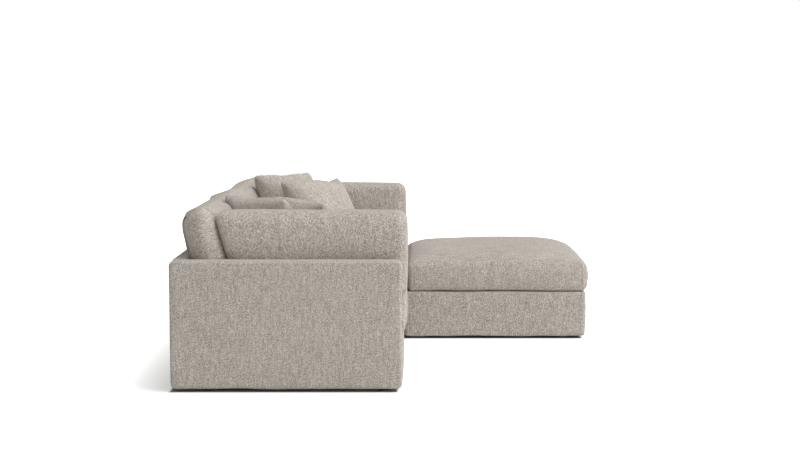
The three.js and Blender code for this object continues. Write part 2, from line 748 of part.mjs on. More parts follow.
// The sofa
const sofa = new THREE.Group();
sofa.add(...armPieces(-1, 'left'), ...armPieces(1, 'right'), ...backPieces(), seatFrontCover());
const seatHalf = innerHalf - touchGap;
const seatArea = { left: -seatHalf, right: seatHalf, front: railFrontY, rear: railRearY };
sofa.add(...supportBox('seat', seatArea, sofaStrapCount, true));
const armFootX = innerHalf + armThickness / 2;
sofa.add(...feet('sofa', [['left', -armFootX], ['middle', 0], ['right', armFootX]],
  [['front', footInset], ['rear', backFaceY - footInset]]));
sofa.add(...sideCushions(-1, 'left'), ...sideCushions(1, 'right'));

// The chaise, built about the middle of its width with its rear face at y = 0
const chaise = new THREE.Group();
const chaiseInnerHalf = chaiseWidth / 2 - coverThickness - touchGap;
const chaiseArea = {
  left: -chaiseInnerHalf,
  right: chaiseInnerHalf,
  front: -chaiseDepth + coverThickness + touchGap,
  rear: -coverThickness - touchGap,
};
chaise.add(...chaiseCoverPanels(), ...supportBox('chaise', chaiseArea, chaiseStrapCount, false));
const chaiseFootX = chaiseInnerHalf - footInset;
chaise.add(...feet('chaise', [['left', -chaiseFootX], ['right', chaiseFootX]],
  [['front', chaiseArea.front + footInset], ['rear', chaiseArea.rear - footInset]]));
chaise.add(chaiseCushion());
chaise.position.set(chaiseCentreX, chaiseRearY, 0);

// The whole, with its origin on the floor under the middle of its box
const group = new THREE.Group();
group.add(sofa, chaise);
const box = new THREE.Box3().setFromObject(group, true);
const middle = box.getCenter(new THREE.Vector3());
group.position.set(-middle.x, -middle.y, -box.min.z);

export default group;
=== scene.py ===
# A sectional sofa with a chaise unit, finished around its fixed frame: padded covers, plumped cushions and
# throw pillows in one heathered weave, over timber, webbing and cloths. Lengths are in metres; x runs along
# the sofa, y from front to back and z up. The sizes of the soft pieces repeat those of the frame's solids.

import math
from collections import namedtuple

import bpy
import numpy as np
from bpy.props import FloatProperty, FloatVectorProperty, PointerProperty
from mathutils import Matrix, Vector
from mathutils.bvhtree import BVHTree


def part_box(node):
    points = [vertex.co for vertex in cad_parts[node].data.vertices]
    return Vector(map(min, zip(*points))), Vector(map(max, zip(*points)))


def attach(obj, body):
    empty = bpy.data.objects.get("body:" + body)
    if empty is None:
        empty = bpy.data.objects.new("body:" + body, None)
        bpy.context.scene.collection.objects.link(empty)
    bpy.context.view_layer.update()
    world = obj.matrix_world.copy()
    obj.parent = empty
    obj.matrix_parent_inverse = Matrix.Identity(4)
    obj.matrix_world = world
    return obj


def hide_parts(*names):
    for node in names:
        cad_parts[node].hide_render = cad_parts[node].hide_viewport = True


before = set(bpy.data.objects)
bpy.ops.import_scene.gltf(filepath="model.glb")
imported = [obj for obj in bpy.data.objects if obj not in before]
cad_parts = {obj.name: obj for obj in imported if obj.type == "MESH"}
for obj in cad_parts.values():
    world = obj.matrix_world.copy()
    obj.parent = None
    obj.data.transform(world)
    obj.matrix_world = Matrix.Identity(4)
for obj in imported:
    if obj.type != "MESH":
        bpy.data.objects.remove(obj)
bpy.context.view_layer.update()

bl_info = {
    "name": "Sectional sofa with chaise",
    "version": (1, 0, 0),
    "blender": (4, 5, 0),
    "location": "View3D > Sidebar > Sofa",
    "description": "Dresses the sofa's frame with covers, cushions and pillows",
    "category": "Add Mesh",
}

# Places that the soft pieces take from the frame
arm_low, arm_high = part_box("left_arm_cover")
back_low, back_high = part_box("back_cover")
seat_cover_low, seat_cover_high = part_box("seat_front_cover")
chaise_low = Vector((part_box("chaise_left_cover")[0].x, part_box("chaise_front_cover")[0].y, seat_cover_low.z))
chaise_high = Vector((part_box("chaise_right_cover")[1].x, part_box("chaise_rear_cover")[1].y, seat_cover_high.z))
deck_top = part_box("seat_deck")[1].z
front_y = arm_low.y
back_face_y = back_low.y
inner_half = -arm_high.x
# What a cushion keeps from the deck under it, and from a cover beside it
touch_gap = 0.0003
clearance = 0.002

# Distances from a seam at which lines of points follow it, and the least distance between two lines
seam_offsets = (0, 0.0025, 0.006, 0.012)
least_spacing = 0.0009
# How far each panel and each piece starts along the cloth, so that no two show the same stretch of it
panel_shift = 0.37
piece_shift = 2.9
# The height and the length of the slow swells of a cover and of a cushion
swell_height = 0.0014
swell_length = 0.4
cushion_swell_height = 0.0016
cushion_swell_length = 0.35
# How far a cover's small folds run out from a seam, and how far its hem's waves reach up
fold_reach = 0.02
hem_reach = 0.10
# The cloth simulation that plumps the cushions and pillows
plump_frames = 20
cloth_settings = {
    "quality": 4, "mass": 0.25, "tension_stiffness": 12, "compression_stiffness": 6, "shear_stiffness": 4,
    "bending_stiffness": 0.15, "air_damping": 4, "use_pressure": True, "uniform_pressure_force": 4,
    "vertex_group_shrink": "seam", "shrink_max": 0.06,
}


def length_setting(name, description, default):
    return FloatProperty(name=name, description=description, default=default, unit="LENGTH", precision=4)


def share_setting(name, description, default):
    return FloatProperty(name=name, description=description, default=default, min=0, max=4, subtype="FACTOR")


def angle_setting(name, description, default):
    return FloatProperty(name=name, description=description, default=math.radians(default), subtype="ANGLE")


def colour_setting(name, description, default):
    return FloatVectorProperty(name=name, description=description, default=default, subtype="COLOR", min=0, max=1)


class SofaSizes(bpy.types.PropertyGroup):
    """Sizes of the soft pieces"""
    seat_height: length_setting("Seat side height", "Height of a seat cushion's sides", 0.160)
    seam_lift: length_setting("Seam lift", "How far the seat's top seam rises between corners", 0.022)
    seat_crown: length_setting("Seat crown", "Fullness of the seat above its seam", 0.060)
    seat_edge: length_setting("Seat edge radius", "Rounding along the seat's seams", 0.016)
    seat_corner: length_setting("Seat corner radius", "Rounding of the seat's upright corners", 0.030)
    seat_draw_in: length_setting("Seat draw-in", "How far the seat's seams pull in between corners", 0.007)
    seat_bulge: length_setting("Seat side bulge", "How far the seat's free sides swell", 0.012)
    chaise_edge: length_setting("Chaise edge radius", "Rounding along the chaise cushion's seams", 0.024)
    chaise_bulge: length_setting("Chaise side bulge", "How far the chaise cushion's front swells", 0.026)
    chaise_shoulder: length_setting("Chaise shoulder", "How far its sides draw in toward the top", 0.017)
    chaise_crown: length_setting("Chaise crown", "Fullness of the chaise cushion above its seam", 0.051)
    chaise_settle: length_setting("Chaise settling", "How much lower its crown is toward the sofa", 0.010)
    base_seam_rise: length_setting("Lower seam", "Height of the seat's lower seam above the deck", 0.018)
    back_thickness: length_setting("Back thickness", "Thickness of a back cushion at its foot", 0.200)
    back_taper: length_setting("Back taper", "How much thinner the back cushion is at its top", 0.042)
    back_length: length_setting("Back length", "Height of a back cushion along its lean", 0.418)
    back_crown: length_setting("Back crown", "Fullness of the back cushion's face", 0.032)
    back_edge: length_setting("Back edge radius", "Rounding of the back cushion's edges", 0.036)
    back_corner: length_setting("Back corner radius", "Rounding of its upper and lower edges", 0.056)
    back_hollow: length_setting("Back rear swell", "How far its rear swells", 0.013)
    back_end_swell: length_setting("Back end swell", "How far its outer end swells", 0.030)
    back_foot_reach: length_setting("Back foot", "Distance of the back cushion's foot from the panel", 0.226)
    back_foot_rise: length_setting("Back foot rise", "Height of the back cushion's foot above the deck", 0.172)
    back_lean: angle_setting("Back lean", "Lean of the back cushions", 16)
    back_lift: length_setting("Right back lift", "How much higher the right back's far end stands", 0.025)
    back_yaw: angle_setting("Right back turn", "Turn of the right back cushion", 4.5)
    back_trim: length_setting("Right back trim", "How much narrower the right back cushion sits", 0.006)
    arm_thickness: length_setting("Arm cushion thickness", "Thickness of an arm cushion", 0.200)
    arm_top: length_setting("Arm cushion top", "Height of an arm cushion's top", 0.808)
    arm_foot_rise: length_setting("Arm cushion foot", "Height of an arm cushion's foot above the deck", 0.160)
    arm_overhang: length_setting("Arm cushion overhang", "How far it swells over the arm", 0.008)
    arm_proud: length_setting("Arm cushion front", "How far it stands in front of the arm", 0.027)
    arm_edge: length_setting("Arm cushion edge", "Rounding of an arm cushion's edges", 0.044)
    arm_crown: length_setting("Arm cushion crown", "Fullness of its inner face", 0.026)
    arm_tuck: length_setting("Arm cushion tuck", "How far its rear end presses into the back cushion", 0.003)
    pillow_width: length_setting("Pillow width", "Width of the widest pillow", 0.447)
    pillow_thickness: length_setting("Pillow thickness", "Thickness of a pillow", 0.216)
    pillow_draw_in: length_setting("Pillow draw-in", "How far a pillow's edges pull in", 0.010)
    pillow_ear: length_setting("Pillow ear radius", "Rounding of a pillow's corners", 0.016)
    seam_depth: length_setting("Seam depth", "How deep a seam lies", 0.0035)
    seam_width: length_setting("Seam width", "How far a seam's groove reaches", 0.004)
    pucker_height: length_setting("Pucker height", "Height of the small folds along a seam", 0.0016)
    pucker_spacing: length_setting("Pucker spacing", "Distance between small folds", 0.030)
    pucker_reach: length_setting("Pucker reach", "How far the folds run out from a seam", 0.035)
    padding: length_setting("Cover padding", "Thickness of the arm and back covers", 0.017)
    cover_edge: length_setting("Cover edge radius", "Rounding of the arm and back covers", 0.019)
    cover_corner: length_setting("Cover corner radius", "Rounding of their outline's corners", 0.028)
    base_padding: length_setting("Base padding", "Thickness of the covers round the seat boxes", 0.025)
    base_edge: length_setting("Base edge radius", "Rounding of the base covers' edges", 0.010)
    base_corner: length_setting("Base corner radius", "Rounding of the base's upright corners", 0.026)
    hem_wave: length_setting("Hem wave", "How far the hems rise and fall", 0.0022)


class SofaFinishes(bpy.types.PropertyGroup):
    """Colours and yarn sizes"""
    yarn: colour_setting("Yarn", "Middle colour of the weave", (0.443, 0.399, 0.353))
    light_fleck: colour_setting("Light fleck", "Lightest yarn of the weave", (0.74, 0.69, 0.63))
    dark_fleck: colour_setting("Dark fleck", "Darkest yarn of the weave", (0.235, 0.202, 0.170))
    yarn_pitch: length_setting("Yarn pitch", "Distance between yarns", 0.0034)
    timber: colour_setting("Timber", "Late wood of the rails", (0.584, 0.392, 0.184))
    webbing: colour_setting("Webbing", "Elastic webbing", (0.050, 0.045, 0.040))
    felt: colour_setting("Felt", "Deck felt", (0.262, 0.227, 0.188))
    dust_cloth: colour_setting("Dust cloth", "Cloth under the seat boxes", (0.019, 0.018, 0.014))
    glide: colour_setting("Glides", "Plastic of the feet", (0.012, 0.011, 0.010))


class SofaStudio(bpy.types.PropertyGroup):
    """Camera and light"""
    camera_reach: length_setting("Camera distance", "Distance from the middle of the sofa", 6.812)
    camera_height: length_setting("Camera height", "Height of the camera", 1.340)
    camera_pitch: angle_setting("Camera pitch", "How far the camera looks down", 5.8)
    camera_lens: FloatProperty(name="Lens", description="Focal length in millimetres", default=57.6)
    sky_strength: share_setting("Sky", "Strength of the light from all round", 0.645)
    key_strength: share_setting("Key lamp", "Strength of the soft lamp from the front", 1.45)
    fill_power: FloatProperty(name="Fill lamp", description="Power of the low lamp before the chaise", default=11)
    key_spread: angle_setting("Key spread", "How soft the key lamp's shadows are", 34)
    floor_glow: share_setting("Floor whiteness", "White that the floor shows round the sofa", 0.30)
    floor_bounce: share_setting("Floor bounce", "Lightness of the floor in the light that it throws back", 0.74)
    floor_tone: share_setting("Floor tone", "Lightness of the floor under its shadows", 0.90)


def add_object(name, data):
    """An object in the scene's own collection."""
    added = bpy.data.objects.new(name, data)
    bpy.context.scene.collection.objects.link(added)
    return added


# Grids of points: a sheet is a grid of point numbers, with the lines of shares that it lies on
Sheet = namedtuple("Sheet", "grid first second axes flip")


def even_lines(length, step):
    return np.linspace(-1, 1, max(4, round(length / step)) + 1)


def seam_lines(length, step, seams):
    """Lines of shares along a length, about a step apart, and closer together beside each seam."""
    half = length / 2
    beside = [side * offset for side in (-1, 1) for offset in seam_offsets]
    places = {-half, half}
    for seam in (-half, half, *seams):
        places |= {seam + offset for offset in beside if abs(seam + offset) < half}
    fixed = sorted(places)
    lines = []
    for low, high in zip(fixed, fixed[1:]):
        lines += list(np.linspace(low, high, max(1, round((high - low) / step)) + 1)[:-1])
    lines = np.array([*lines, half])
    return lines[np.concatenate([[True], np.diff(lines) > least_spacing])] / half


def box_sheets(lines):
    """The shares of the points on a box's skin, and its six sides as sheets."""
    counts = [len(line) for line in lines]
    place = np.indices(counts)
    skin = np.any([(place[k] == 0) | (place[k] == counts[k] - 1) for k in range(3)], axis=0)
    number = np.full(counts, -1)
    number[skin] = np.arange(skin.sum())
    shares = np.stack([lines[k][place[k][skin]] for k in range(3)], axis=1)
    sheets = []
    for axis in range(3):
        axes = [k for k in range(3) if k != axis]
        for end in (0, -1):
            grid = np.take(number, end, axis=axis)
            flip = (end == 0) != (axis == 1)
            sheets.append(Sheet(grid, lines[axes[0]], lines[axes[1]], axes, flip))
    return shares, sheets


def pillow_sheets(line):
    """The shares of the points of two sheets that share their edges, and the sheets."""
    count = len(line)
    front = np.arange(count * count).reshape(count, count)
    back = front.copy()
    inner = (slice(1, -1), slice(1, -1))
    back[inner] = count * count + np.arange((count - 2) ** 2).reshape(count - 2, count - 2)
    a, b = np.meshgrid(line, line, indexing="ij")
    side = np.zeros((count, count))
    side[inner] = 1
    shares = np.stack([a.ravel(), b.ravel(), side.ravel()], axis=1)
    rear = np.stack([a[inner].ravel(), b[inner].ravel(), -side[inner].ravel()], axis=1)
    sheets = [Sheet(front, line, line, [0, 1], False), Sheet(back, line, line, [0, 1], True)]
    return np.concatenate([shares, rear]), sheets


def corners_of(grid, flip):
    quads = np.stack([grid[:-1, :-1], grid[1:, :-1], grid[1:, 1:], grid[:-1, 1:]], axis=2)
    return quads[:, :, ::-1] if flip else quads


def quads_of(sheets):
    return np.concatenate([corners_of(sheet.grid, sheet.flip).reshape(-1, 4) for sheet in sheets])


def run_lengths(grid, axis):
    """Distances along the lines of a grid of places, from its middle."""
    steps = np.linalg.norm(np.diff(grid, axis=axis), axis=2)
    start = np.zeros_like(np.take(steps, [0], axis=axis))
    total = np.concatenate([start, np.cumsum(steps, axis=axis)], axis=axis)
    return total - np.take(total, [total.shape[axis] // 2], axis=axis)


def cloth_places(sheets, points, seed):
    """For each corner of each face, where it lies in the flat cloth: across, up the warp, and the panel."""
    found = []
    for number, sheet in enumerate(sheets):
        grid = points[sheet.grid]
        panel = np.full(sheet.grid.shape, number * panel_shift + seed * piece_shift)
        flat = np.stack([run_lengths(grid, 0), run_lengths(grid, 1), panel], axis=2)
        found.append(corners_of(flat, sheet.flip).reshape(-1, 4, 3))
    return np.concatenate(found)


def curve_weights(known, wanted):
    """Weights that read a smooth curve through evenly spaced known places at the wanted ones."""
    step = known[1] - known[0]
    t = np.clip((wanted - known[0]) / step, 0, len(known) - 1)
    cell = np.minimum(t.astype(int), len(known) - 2)
    f = t - cell
    parts = [-f / 2 + f**2 - f**3 / 2, 1 - 2.5 * f**2 + 1.5 * f**3,
             f / 2 + 2 * f**2 - 1.5 * f**3, -f**2 / 2 + f**3 / 2]
    weights = np.zeros((len(wanted), len(known)))
    rows = np.arange(len(wanted))
    for offset, part in zip((-1, 0, 1, 2), parts):
        np.add.at(weights, (rows, np.clip(cell + offset, 0, len(known) - 1)), part)
    return weights


def carried_over(rough, fine, values, count):
    """Values at the points of a rough set of sheets, read at the points of a finer set."""
    result = np.zeros((count, 3))
    for old, new in zip(rough, fine):
        along = curve_weights(old.first, new.first)
        up = curve_weights(old.second, new.second)
        result[new.grid] = np.einsum("ia,abk,jb->ijk", along, values[old.grid], up)
    return result


def lengths(vectors):
    """The length of each vector, never quite zero."""
    return np.maximum(np.linalg.norm(vectors, axis=1, keepdims=True), 1e-12)


def point_normals(points, quads):
    across = points[quads[:, 2]] - points[quads[:, 0]]
    other = points[quads[:, 3]] - points[quads[:, 1]]
    normals = np.zeros_like(points)
    np.add.at(normals, quads.ravel(), np.repeat(np.cross(across, other), 4, axis=0))
    return normals / lengths(normals)


def smoothed(values, quads, rounds):
    """Values at points, each evened out with those of its neighbours."""
    start = quads.ravel()
    end = np.roll(quads, -1, axis=1).ravel()
    count = np.zeros(len(values))
    np.add.at(count, start, 1)
    for _ in range(rounds):
        total = np.zeros_like(values)
        np.add.at(total, start, values[end])
        values = 0.5 * values + 0.5 * total / count[:, None]
    return values


def smoothstep(value, low, high):
    t = np.clip((value - low) / (high - low), 0, 1)
    return t * t * (3 - 2 * t)


def crown_share(share, power):
    return 1 - np.abs(share) ** power


def waves(place, length, seed):
    """An uneven wave from about -1 to 1 that repeats after roughly the given length."""
    random = np.random.default_rng(seed)
    total = np.zeros_like(place)
    for stretch in (0.62, 0.85, 1.15, 1.6):
        total += np.sin(2 * np.pi * (place / (length * stretch) + random.random())) * random.uniform(0.3, 0.6)
    return total


def unevenness(points, length, seed):
    """Slow swells over a surface, from about -1 to 1."""
    random = np.random.default_rng(seed)
    total = np.zeros(len(points))
    for _ in range(6):
        direction = random.normal(size=3)
        direction /= np.linalg.norm(direction) * length * random.uniform(0.7, 1.5)
        total += np.sin(2 * np.pi * (points @ direction + random.random())) * 0.4
    return total


def rounded_box(share, half, edge, corner, axis):
    """Places on a box with rounded edges, and rounder corners about one axis."""
    point = share * half
    core = np.clip(point, edge - half, half - edge)
    out = point - core
    across = [k for k in range(3) if k != axis]
    middle = np.clip(point[:, across], corner - half[across], half[across] - corner)
    arm = point[:, across] - middle
    reach = np.max(np.abs(arm), axis=1, keepdims=True)
    arm /= lengths(arm)
    core[:, across] = middle + arm * np.minimum(reach, corner - edge)
    out[:, across] = arm * np.maximum(reach - (corner - edge), 0)
    return core + out / lengths(out) * edge


# A seam runs along one axis, at fixed distances from the middle along the two others; its depth and the
# height of its folds are shares of the deepest seam's
Seam = namedtuple("Seam", "along at low high depth folds")


def box_seams(half, lower, corner, depth=0.3, folds=0.6):
    """The seams of a boxed cushion: round the top, round the foot, and up the corners of two sides."""
    x, y, z = half
    around = [(z, depth, folds)]
    if lower is not None:
        around.append((lower, 0.6, 0.7))
    seams = []
    for height, deep, folded in around:
        seams.append(Seam(1, {0: x, 2: height}, -y, y, deep, folded))
        seams.append(Seam(0, {1: y, 2: height}, -x, x, deep, folded))
    if corner:
        seams.append(Seam(2, {0: x, 1: y - corner}, lower, z, 0.9, 0.4))
    return seams


def sewn(places, seams, sizes, seed):
    """How far each point moves out along its normal because of the seams: a groove, and small folds."""
    end_fade, fold_start, crowd_length = 0.004, 0.006, 0.33
    total = np.zeros(len(places))
    for number, seam in enumerate(seams):
        gaps = []
        for axis, value in seam.at.items():
            free = places[:, axis] if (axis == 2 or value < 0) else np.abs(places[:, axis])
            gaps.append(free - value)
        distance = np.sqrt(sum(gap**2 for gap in gaps))
        along = places[:, seam.along]
        inside = smoothstep(along, seam.low - end_fade, seam.low)
        inside = inside * (1 - smoothstep(along, seam.high, seam.high + end_fade))
        side = sum(np.sign(places[:, axis]) * (5 + axis) for axis in seam.at)
        total -= inside * seam.depth * sizes.seam_depth * np.exp(-distance / sizes.seam_width)
        fold = np.zeros(len(places))
        for sign in np.unique(side):
            chosen = side == sign
            key = seed * 1000 + number * 50 + int(sign * 3 + 25)
            crowd = 0.55 + 0.45 * waves(along[chosen], crowd_length, key + 7)
            fold[chosen] = waves(along[chosen], sizes.pucker_spacing, key) * crowd
        fade = distance / (distance + fold_start) * np.exp(-distance / sizes.pucker_reach)
        total += inside * seam.folds * sizes.pucker_height * fold * fade * 2
    return total


class Stuffing:
    """A stuffed piece: its grids, its shape before it is plumped, its seams and its place."""

    def __init__(self, name, half, shape, seams, matrix, seed, step=0.011, rough_step=0.021,
                 is_pillow=False, keep=0.5, tightness=1.0):
        self.name = name
        self.half = np.array(half)
        self.shape = shape
        self.seams = seams
        self.matrix = matrix
        self.seed = seed
        self.is_pillow = is_pillow
        self.keep = keep
        self.tightness = tightness
        size = 2 * self.half
        if self.is_pillow:
            self.rough_shares, self.rough = pillow_sheets(even_lines(size[0], rough_step))
            self.shares, self.sheets = pillow_sheets(seam_lines(size[0], step, ()))
        else:
            stops = [[], [], []]
            for seam in seams:
                for axis, value in seam.at.items():
                    if abs(abs(value) - self.half[axis]) > 1e-6:
                        stops[axis] += [value, -value] if axis < 2 else [value]
            self.rough_shares, self.rough = box_sheets([even_lines(length, rough_step) for length in size])
            self.shares, self.sheets = box_sheets([seam_lines(size[k], step, stops[k]) for k in range(3)])
        self.quads = quads_of(self.sheets)
        self.rough_quads = quads_of(self.rough)
        self.rough_points = shape(self.rough_shares)
        self.plumped = None

    def points(self, sizes):
        places = self.shape(self.shares)
        if self.plumped is not None:
            places = places + carried_over(self.rough, self.sheets, self.plumped, len(places))
        normals = point_normals(places, self.quads)
        flat = self.shares * self.half
        moved = sewn(flat, self.seams, sizes, self.seed)
        moved += cushion_swell_height * unevenness(flat, cushion_swell_length, self.seed + 1)
        places = places + normals * moved[:, None]
        turn = np.array(self.matrix)
        return places @ turn[:3, :3].T + turn[:3, 3]


def simulate(stuffings):
    """Plumps all the pieces at once with air pressure inside seams that are sewn a little short."""
    scene = bpy.context.scene
    blown = []
    for stuffing in stuffings:
        mesh = bpy.data.meshes.new("plump_" + stuffing.name)
        mesh.from_pydata(stuffing.rough_points.tolist(), [], stuffing.rough_quads.tolist())
        piece = add_object("plump_" + stuffing.name, mesh)
        seam = piece.vertex_groups.new(name="seam")
        on_seam = np.sum(np.abs(np.abs(stuffing.rough_shares) - 1) < 1e-6, axis=1) >= 2
        if stuffing.is_pillow:
            on_seam = stuffing.rough_shares[:, 2] == 0
        seam.add([int(k) for k in np.nonzero(on_seam)[0]], stuffing.tightness, "REPLACE")
        cloth = piece.modifiers.new("cloth", "CLOTH")
        for name, value in cloth_settings.items():
            setattr(cloth.settings, name, value)
        cloth.settings.effector_weights.gravity = 0
        cloth.point_cache.frame_start = 1
        cloth.point_cache.frame_end = plump_frames
        blown.append(piece)
    for number in range(1, plump_frames + 1):
        scene.frame_set(number)
    graph = bpy.context.evaluated_depsgraph_get()
    for stuffing, piece in zip(stuffings, blown):
        done = piece.evaluated_get(graph).data
        places = np.empty(len(done.vertices) * 3)
        done.vertices.foreach_get("co", places)
        stuffing.plumped = settled(stuffing, places.reshape(-1, 3))
        mesh = piece.data
        bpy.data.objects.remove(piece)
        bpy.data.meshes.remove(mesh)
    scene.frame_set(1)


def settled(stuffing, places, cap=0.022):
    """The folds that the pressure made, without its slow swelling and with each move capped."""
    move = places - stuffing.rough_points
    folds = smoothed(move, stuffing.rough_quads, 2) - smoothed(move, stuffing.rough_quads, 16)
    far = np.linalg.norm(folds, axis=1, keepdims=True)
    return stuffing.keep * folds * (np.minimum(far, cap) / np.maximum(far, 1e-9))


def pushed_out(points, neighbours, gap):
    """Points that lie in a neighbour, or closer than the gap, moved out to its surface."""
    moved = points.copy()
    for low, high, tree in neighbours:
        close = np.all((moved > low - gap) & (moved < high + gap), axis=1)
        for number in np.nonzero(close)[0]:
            place = Vector(moved[number])
            nearest, normal, _, _ = tree.find_nearest(place)
            if (place - nearest).dot(normal) < gap:
                moved[number] = nearest + normal * gap
    return moved


def pressed(points, quads, neighbours, gap=0.0012):
    """A soft skin that gives way where neighbours press into it."""
    first = pushed_out(points, neighbours, gap)
    eased = points + smoothed(first - points, quads, 3)
    return pushed_out(eased, neighbours, gap)


def neighbour(points, quads):
    """A piece's corners and its surface, for others to press on."""
    return points.min(0), points.max(0), BVHTree.FromPolygons(points.tolist(), quads.tolist())


def make_piece(name, points, faces, cloth, body, nodes):
    """A smooth woven mesh with the cloth's own coordinates at its corners, riding on a body for its nodes."""
    mesh = bpy.data.meshes.new(name)
    mesh.from_pydata(points.tolist(), [], faces.tolist())
    mesh.shade_smooth()
    layer = mesh.attributes.new("cloth", "FLOAT_VECTOR", "CORNER")
    layer.data.foreach_set("vector", np.ascontiguousarray(cloth, dtype=np.float32).ravel())
    mesh.materials.append(upholstery())
    piece = add_object(name, mesh)
    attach(piece, body)
    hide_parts(*nodes)
    return piece


# Shapes of the stuffed pieces, for shares of their width, depth and height

def boxed_shape(half, edge, corner, draw_in, rise, press=None, round_about=2):
    half = np.array(half)

    def shape(share):
        a, b, c = share.T
        places = rounded_box(share, half, edge, corner, round_about)
        places[:, 0] -= a * draw_in * (1 - b**2) * c**2
        places[:, 1] -= b * draw_in * (1 - a**2) * c**2
        up = (c + 1) / 2
        places[:, 2] += up * rise(a, b)
        if press is not None:
            places[:, 2] += (1 - up) * press(a, b)
        return places
    return shape


def bulged(shape, side, front):
    """Swells the two sides and the front."""
    def swollen(share):
        places = shape(share)
        a, b, c = share.T
        round_c = 1 - c**2
        places[:, 0] += side * (smoothstep(a, 0.6, 1) - smoothstep(-a, 0.6, 1)) * (1 - b**4) * round_c
        places[:, 1] -= front * smoothstep(-b, 0.6, 1) * (1 - a**8) * round_c
        return places
    return swollen


def shouldered(shape, amount):
    """Draws a cushion's sides in toward its top, so that they pass softly into the crown."""
    def sloped(share):
        places = shape(share)
        a, b, c = share.T
        inward = amount * (np.maximum(c + 0.7, 0) / 1.7) ** 2
        places[:, 0] -= inward * smoothstep(np.abs(a), 0.7, 1) * np.sign(a)
        places[:, 1] += 0.05 * inward * smoothstep(-b, 0.7, 1)
        return places
    return sloped


def seat_seam(a, b, sizes):
    """How far a seat's top seam rises between its corners."""
    return sizes.seam_lift * (1 - a**2 * b**2)


def laid_on_deck(middle_x, front, rear, half):
    """The place of a cushion that lies on the deck."""
    return Matrix.Translation((middle_x, (front + rear) / 2, deck_top + touch_gap + half[2]))


def side_name(side):
    return "left" if side < 0 else "right"


def seat_stuffing(side, sizes):
    width = inner_half - 4 * clearance
    front = seat_cover_low.y - clearance
    rear = back_face_y - clearance
    half = (width / 2, (rear - front) / 2, sizes.seat_height / 2)

    def rise(a, b):
        full = np.minimum(crown_share(np.minimum(b, 0), 3.2), 1 - smoothstep(b, 0, 0.52))
        return seat_seam(a, b, sizes) + sizes.seat_crown * crown_share(a, 5) * full

    shape = boxed_shape(half, sizes.seat_edge, sizes.seat_corner, sizes.seat_draw_in, rise)
    seams = box_seams(half, sizes.base_seam_rise - half[2], 0)
    return Stuffing(f"{side_name(side)}_seat_cushion", half, bulged(shape, 0, sizes.seat_bulge), seams,
                    laid_on_deck(side * inner_half / 2, front, rear, half), 3 if side < 0 else 4)


def chaise_stuffing(sizes):
    proud, inset, side_bulge = 0.006, 0.004, 0.002
    width = chaise_high.x - chaise_low.x - 2 * inset
    low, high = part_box("chaise_cushion")
    front = chaise_low.y - proud
    rear = high.y - 2 * clearance
    half = (width / 2, (rear - front) / 2, sizes.seat_height / 2)

    def rise(a, b):
        full = np.minimum(crown_share(b, 8.2), crown_share(np.minimum(b, 0), 5.2))
        crown = sizes.chaise_crown - sizes.chaise_settle * smoothstep(b, -0.5, 0.5)
        return seat_seam(a, b, sizes) + crown * crown_share(a, 5) * full

    shape = boxed_shape(half, sizes.chaise_edge, sizes.seat_corner, sizes.seat_draw_in, rise)
    shape = shouldered(bulged(shape, side_bulge, sizes.chaise_bulge), sizes.chaise_shoulder)
    seams = box_seams(half, sizes.base_seam_rise - half[2], sizes.seat_corner, depth=0.05, folds=0.4)
    turn = laid_on_deck((low.x + high.x) / 2, front, rear, half)
    return Stuffing("chaise_cushion", half, shape, seams, turn, 5, step=0.010, keep=0.3, tightness=0.4)


def back_stuffing(side, sizes):
    is_right = side > 0
    draw_in, lower_cut, upper_cut = 0.006, 0.048, 0.050
    fuller_top = 0.006 if is_right else 0.014
    width = inner_half - 2 * clearance - sizes.back_trim * (1 if is_right else 0.5)
    half = (width / 2, sizes.back_length / 2, sizes.back_thickness / 2)

    def rise(a, b):
        return sizes.back_crown * crown_share(a, 4) * crown_share(b, 4)

    def raised(a):
        return smoothstep(a, -0.3, 0.5) * (1 - 0.6 * smoothstep(a, 0.55, 1))

    def press(a, b):
        return sizes.back_taper * (b + 1) / 2 - sizes.back_hollow * crown_share(a, 4) * crown_share(b, 2)

    boxed = boxed_shape(half, sizes.back_edge, sizes.back_corner, draw_in, rise, press, round_about=0)

    def shape(share):
        places = boxed(share)
        a, b, c = share.T
        outer = smoothstep(side * a, 0.82, 1)
        full = sizes.back_end_swell * (1 - b**4) * (1 - c**2)
        cut = lower_cut * np.maximum(0.3 - c, 0) ** 2 + upper_cut * np.maximum(c - 0.2, 0) ** 2
        places[:, 0] += side * outer * (full - cut)
        places[:, 1] += (b + 1) / 2 * (sizes.back_lift * raised(a) * is_right + fuller_top)
        return places

    seams = box_seams(half, None, 0, depth=0.1, folds=0.5)
    turn = Matrix.Translation((side * inner_half / 2, back_face_y - sizes.back_foot_reach,
                               deck_top + sizes.back_foot_rise))
    turn = turn @ Matrix.Rotation(-sizes.back_yaw if is_right else 0, 4, "Z")
    turn = turn @ Matrix.Rotation(math.pi / 2 - sizes.back_lean, 4, "X")
    turn = turn @ Matrix.Translation((0, half[1], -half[2]))
    return Stuffing(f"{side_name(side)}_back_cushion", half, shape, seams, turn, 7 if is_right else 6,
                    tightness=0.15)


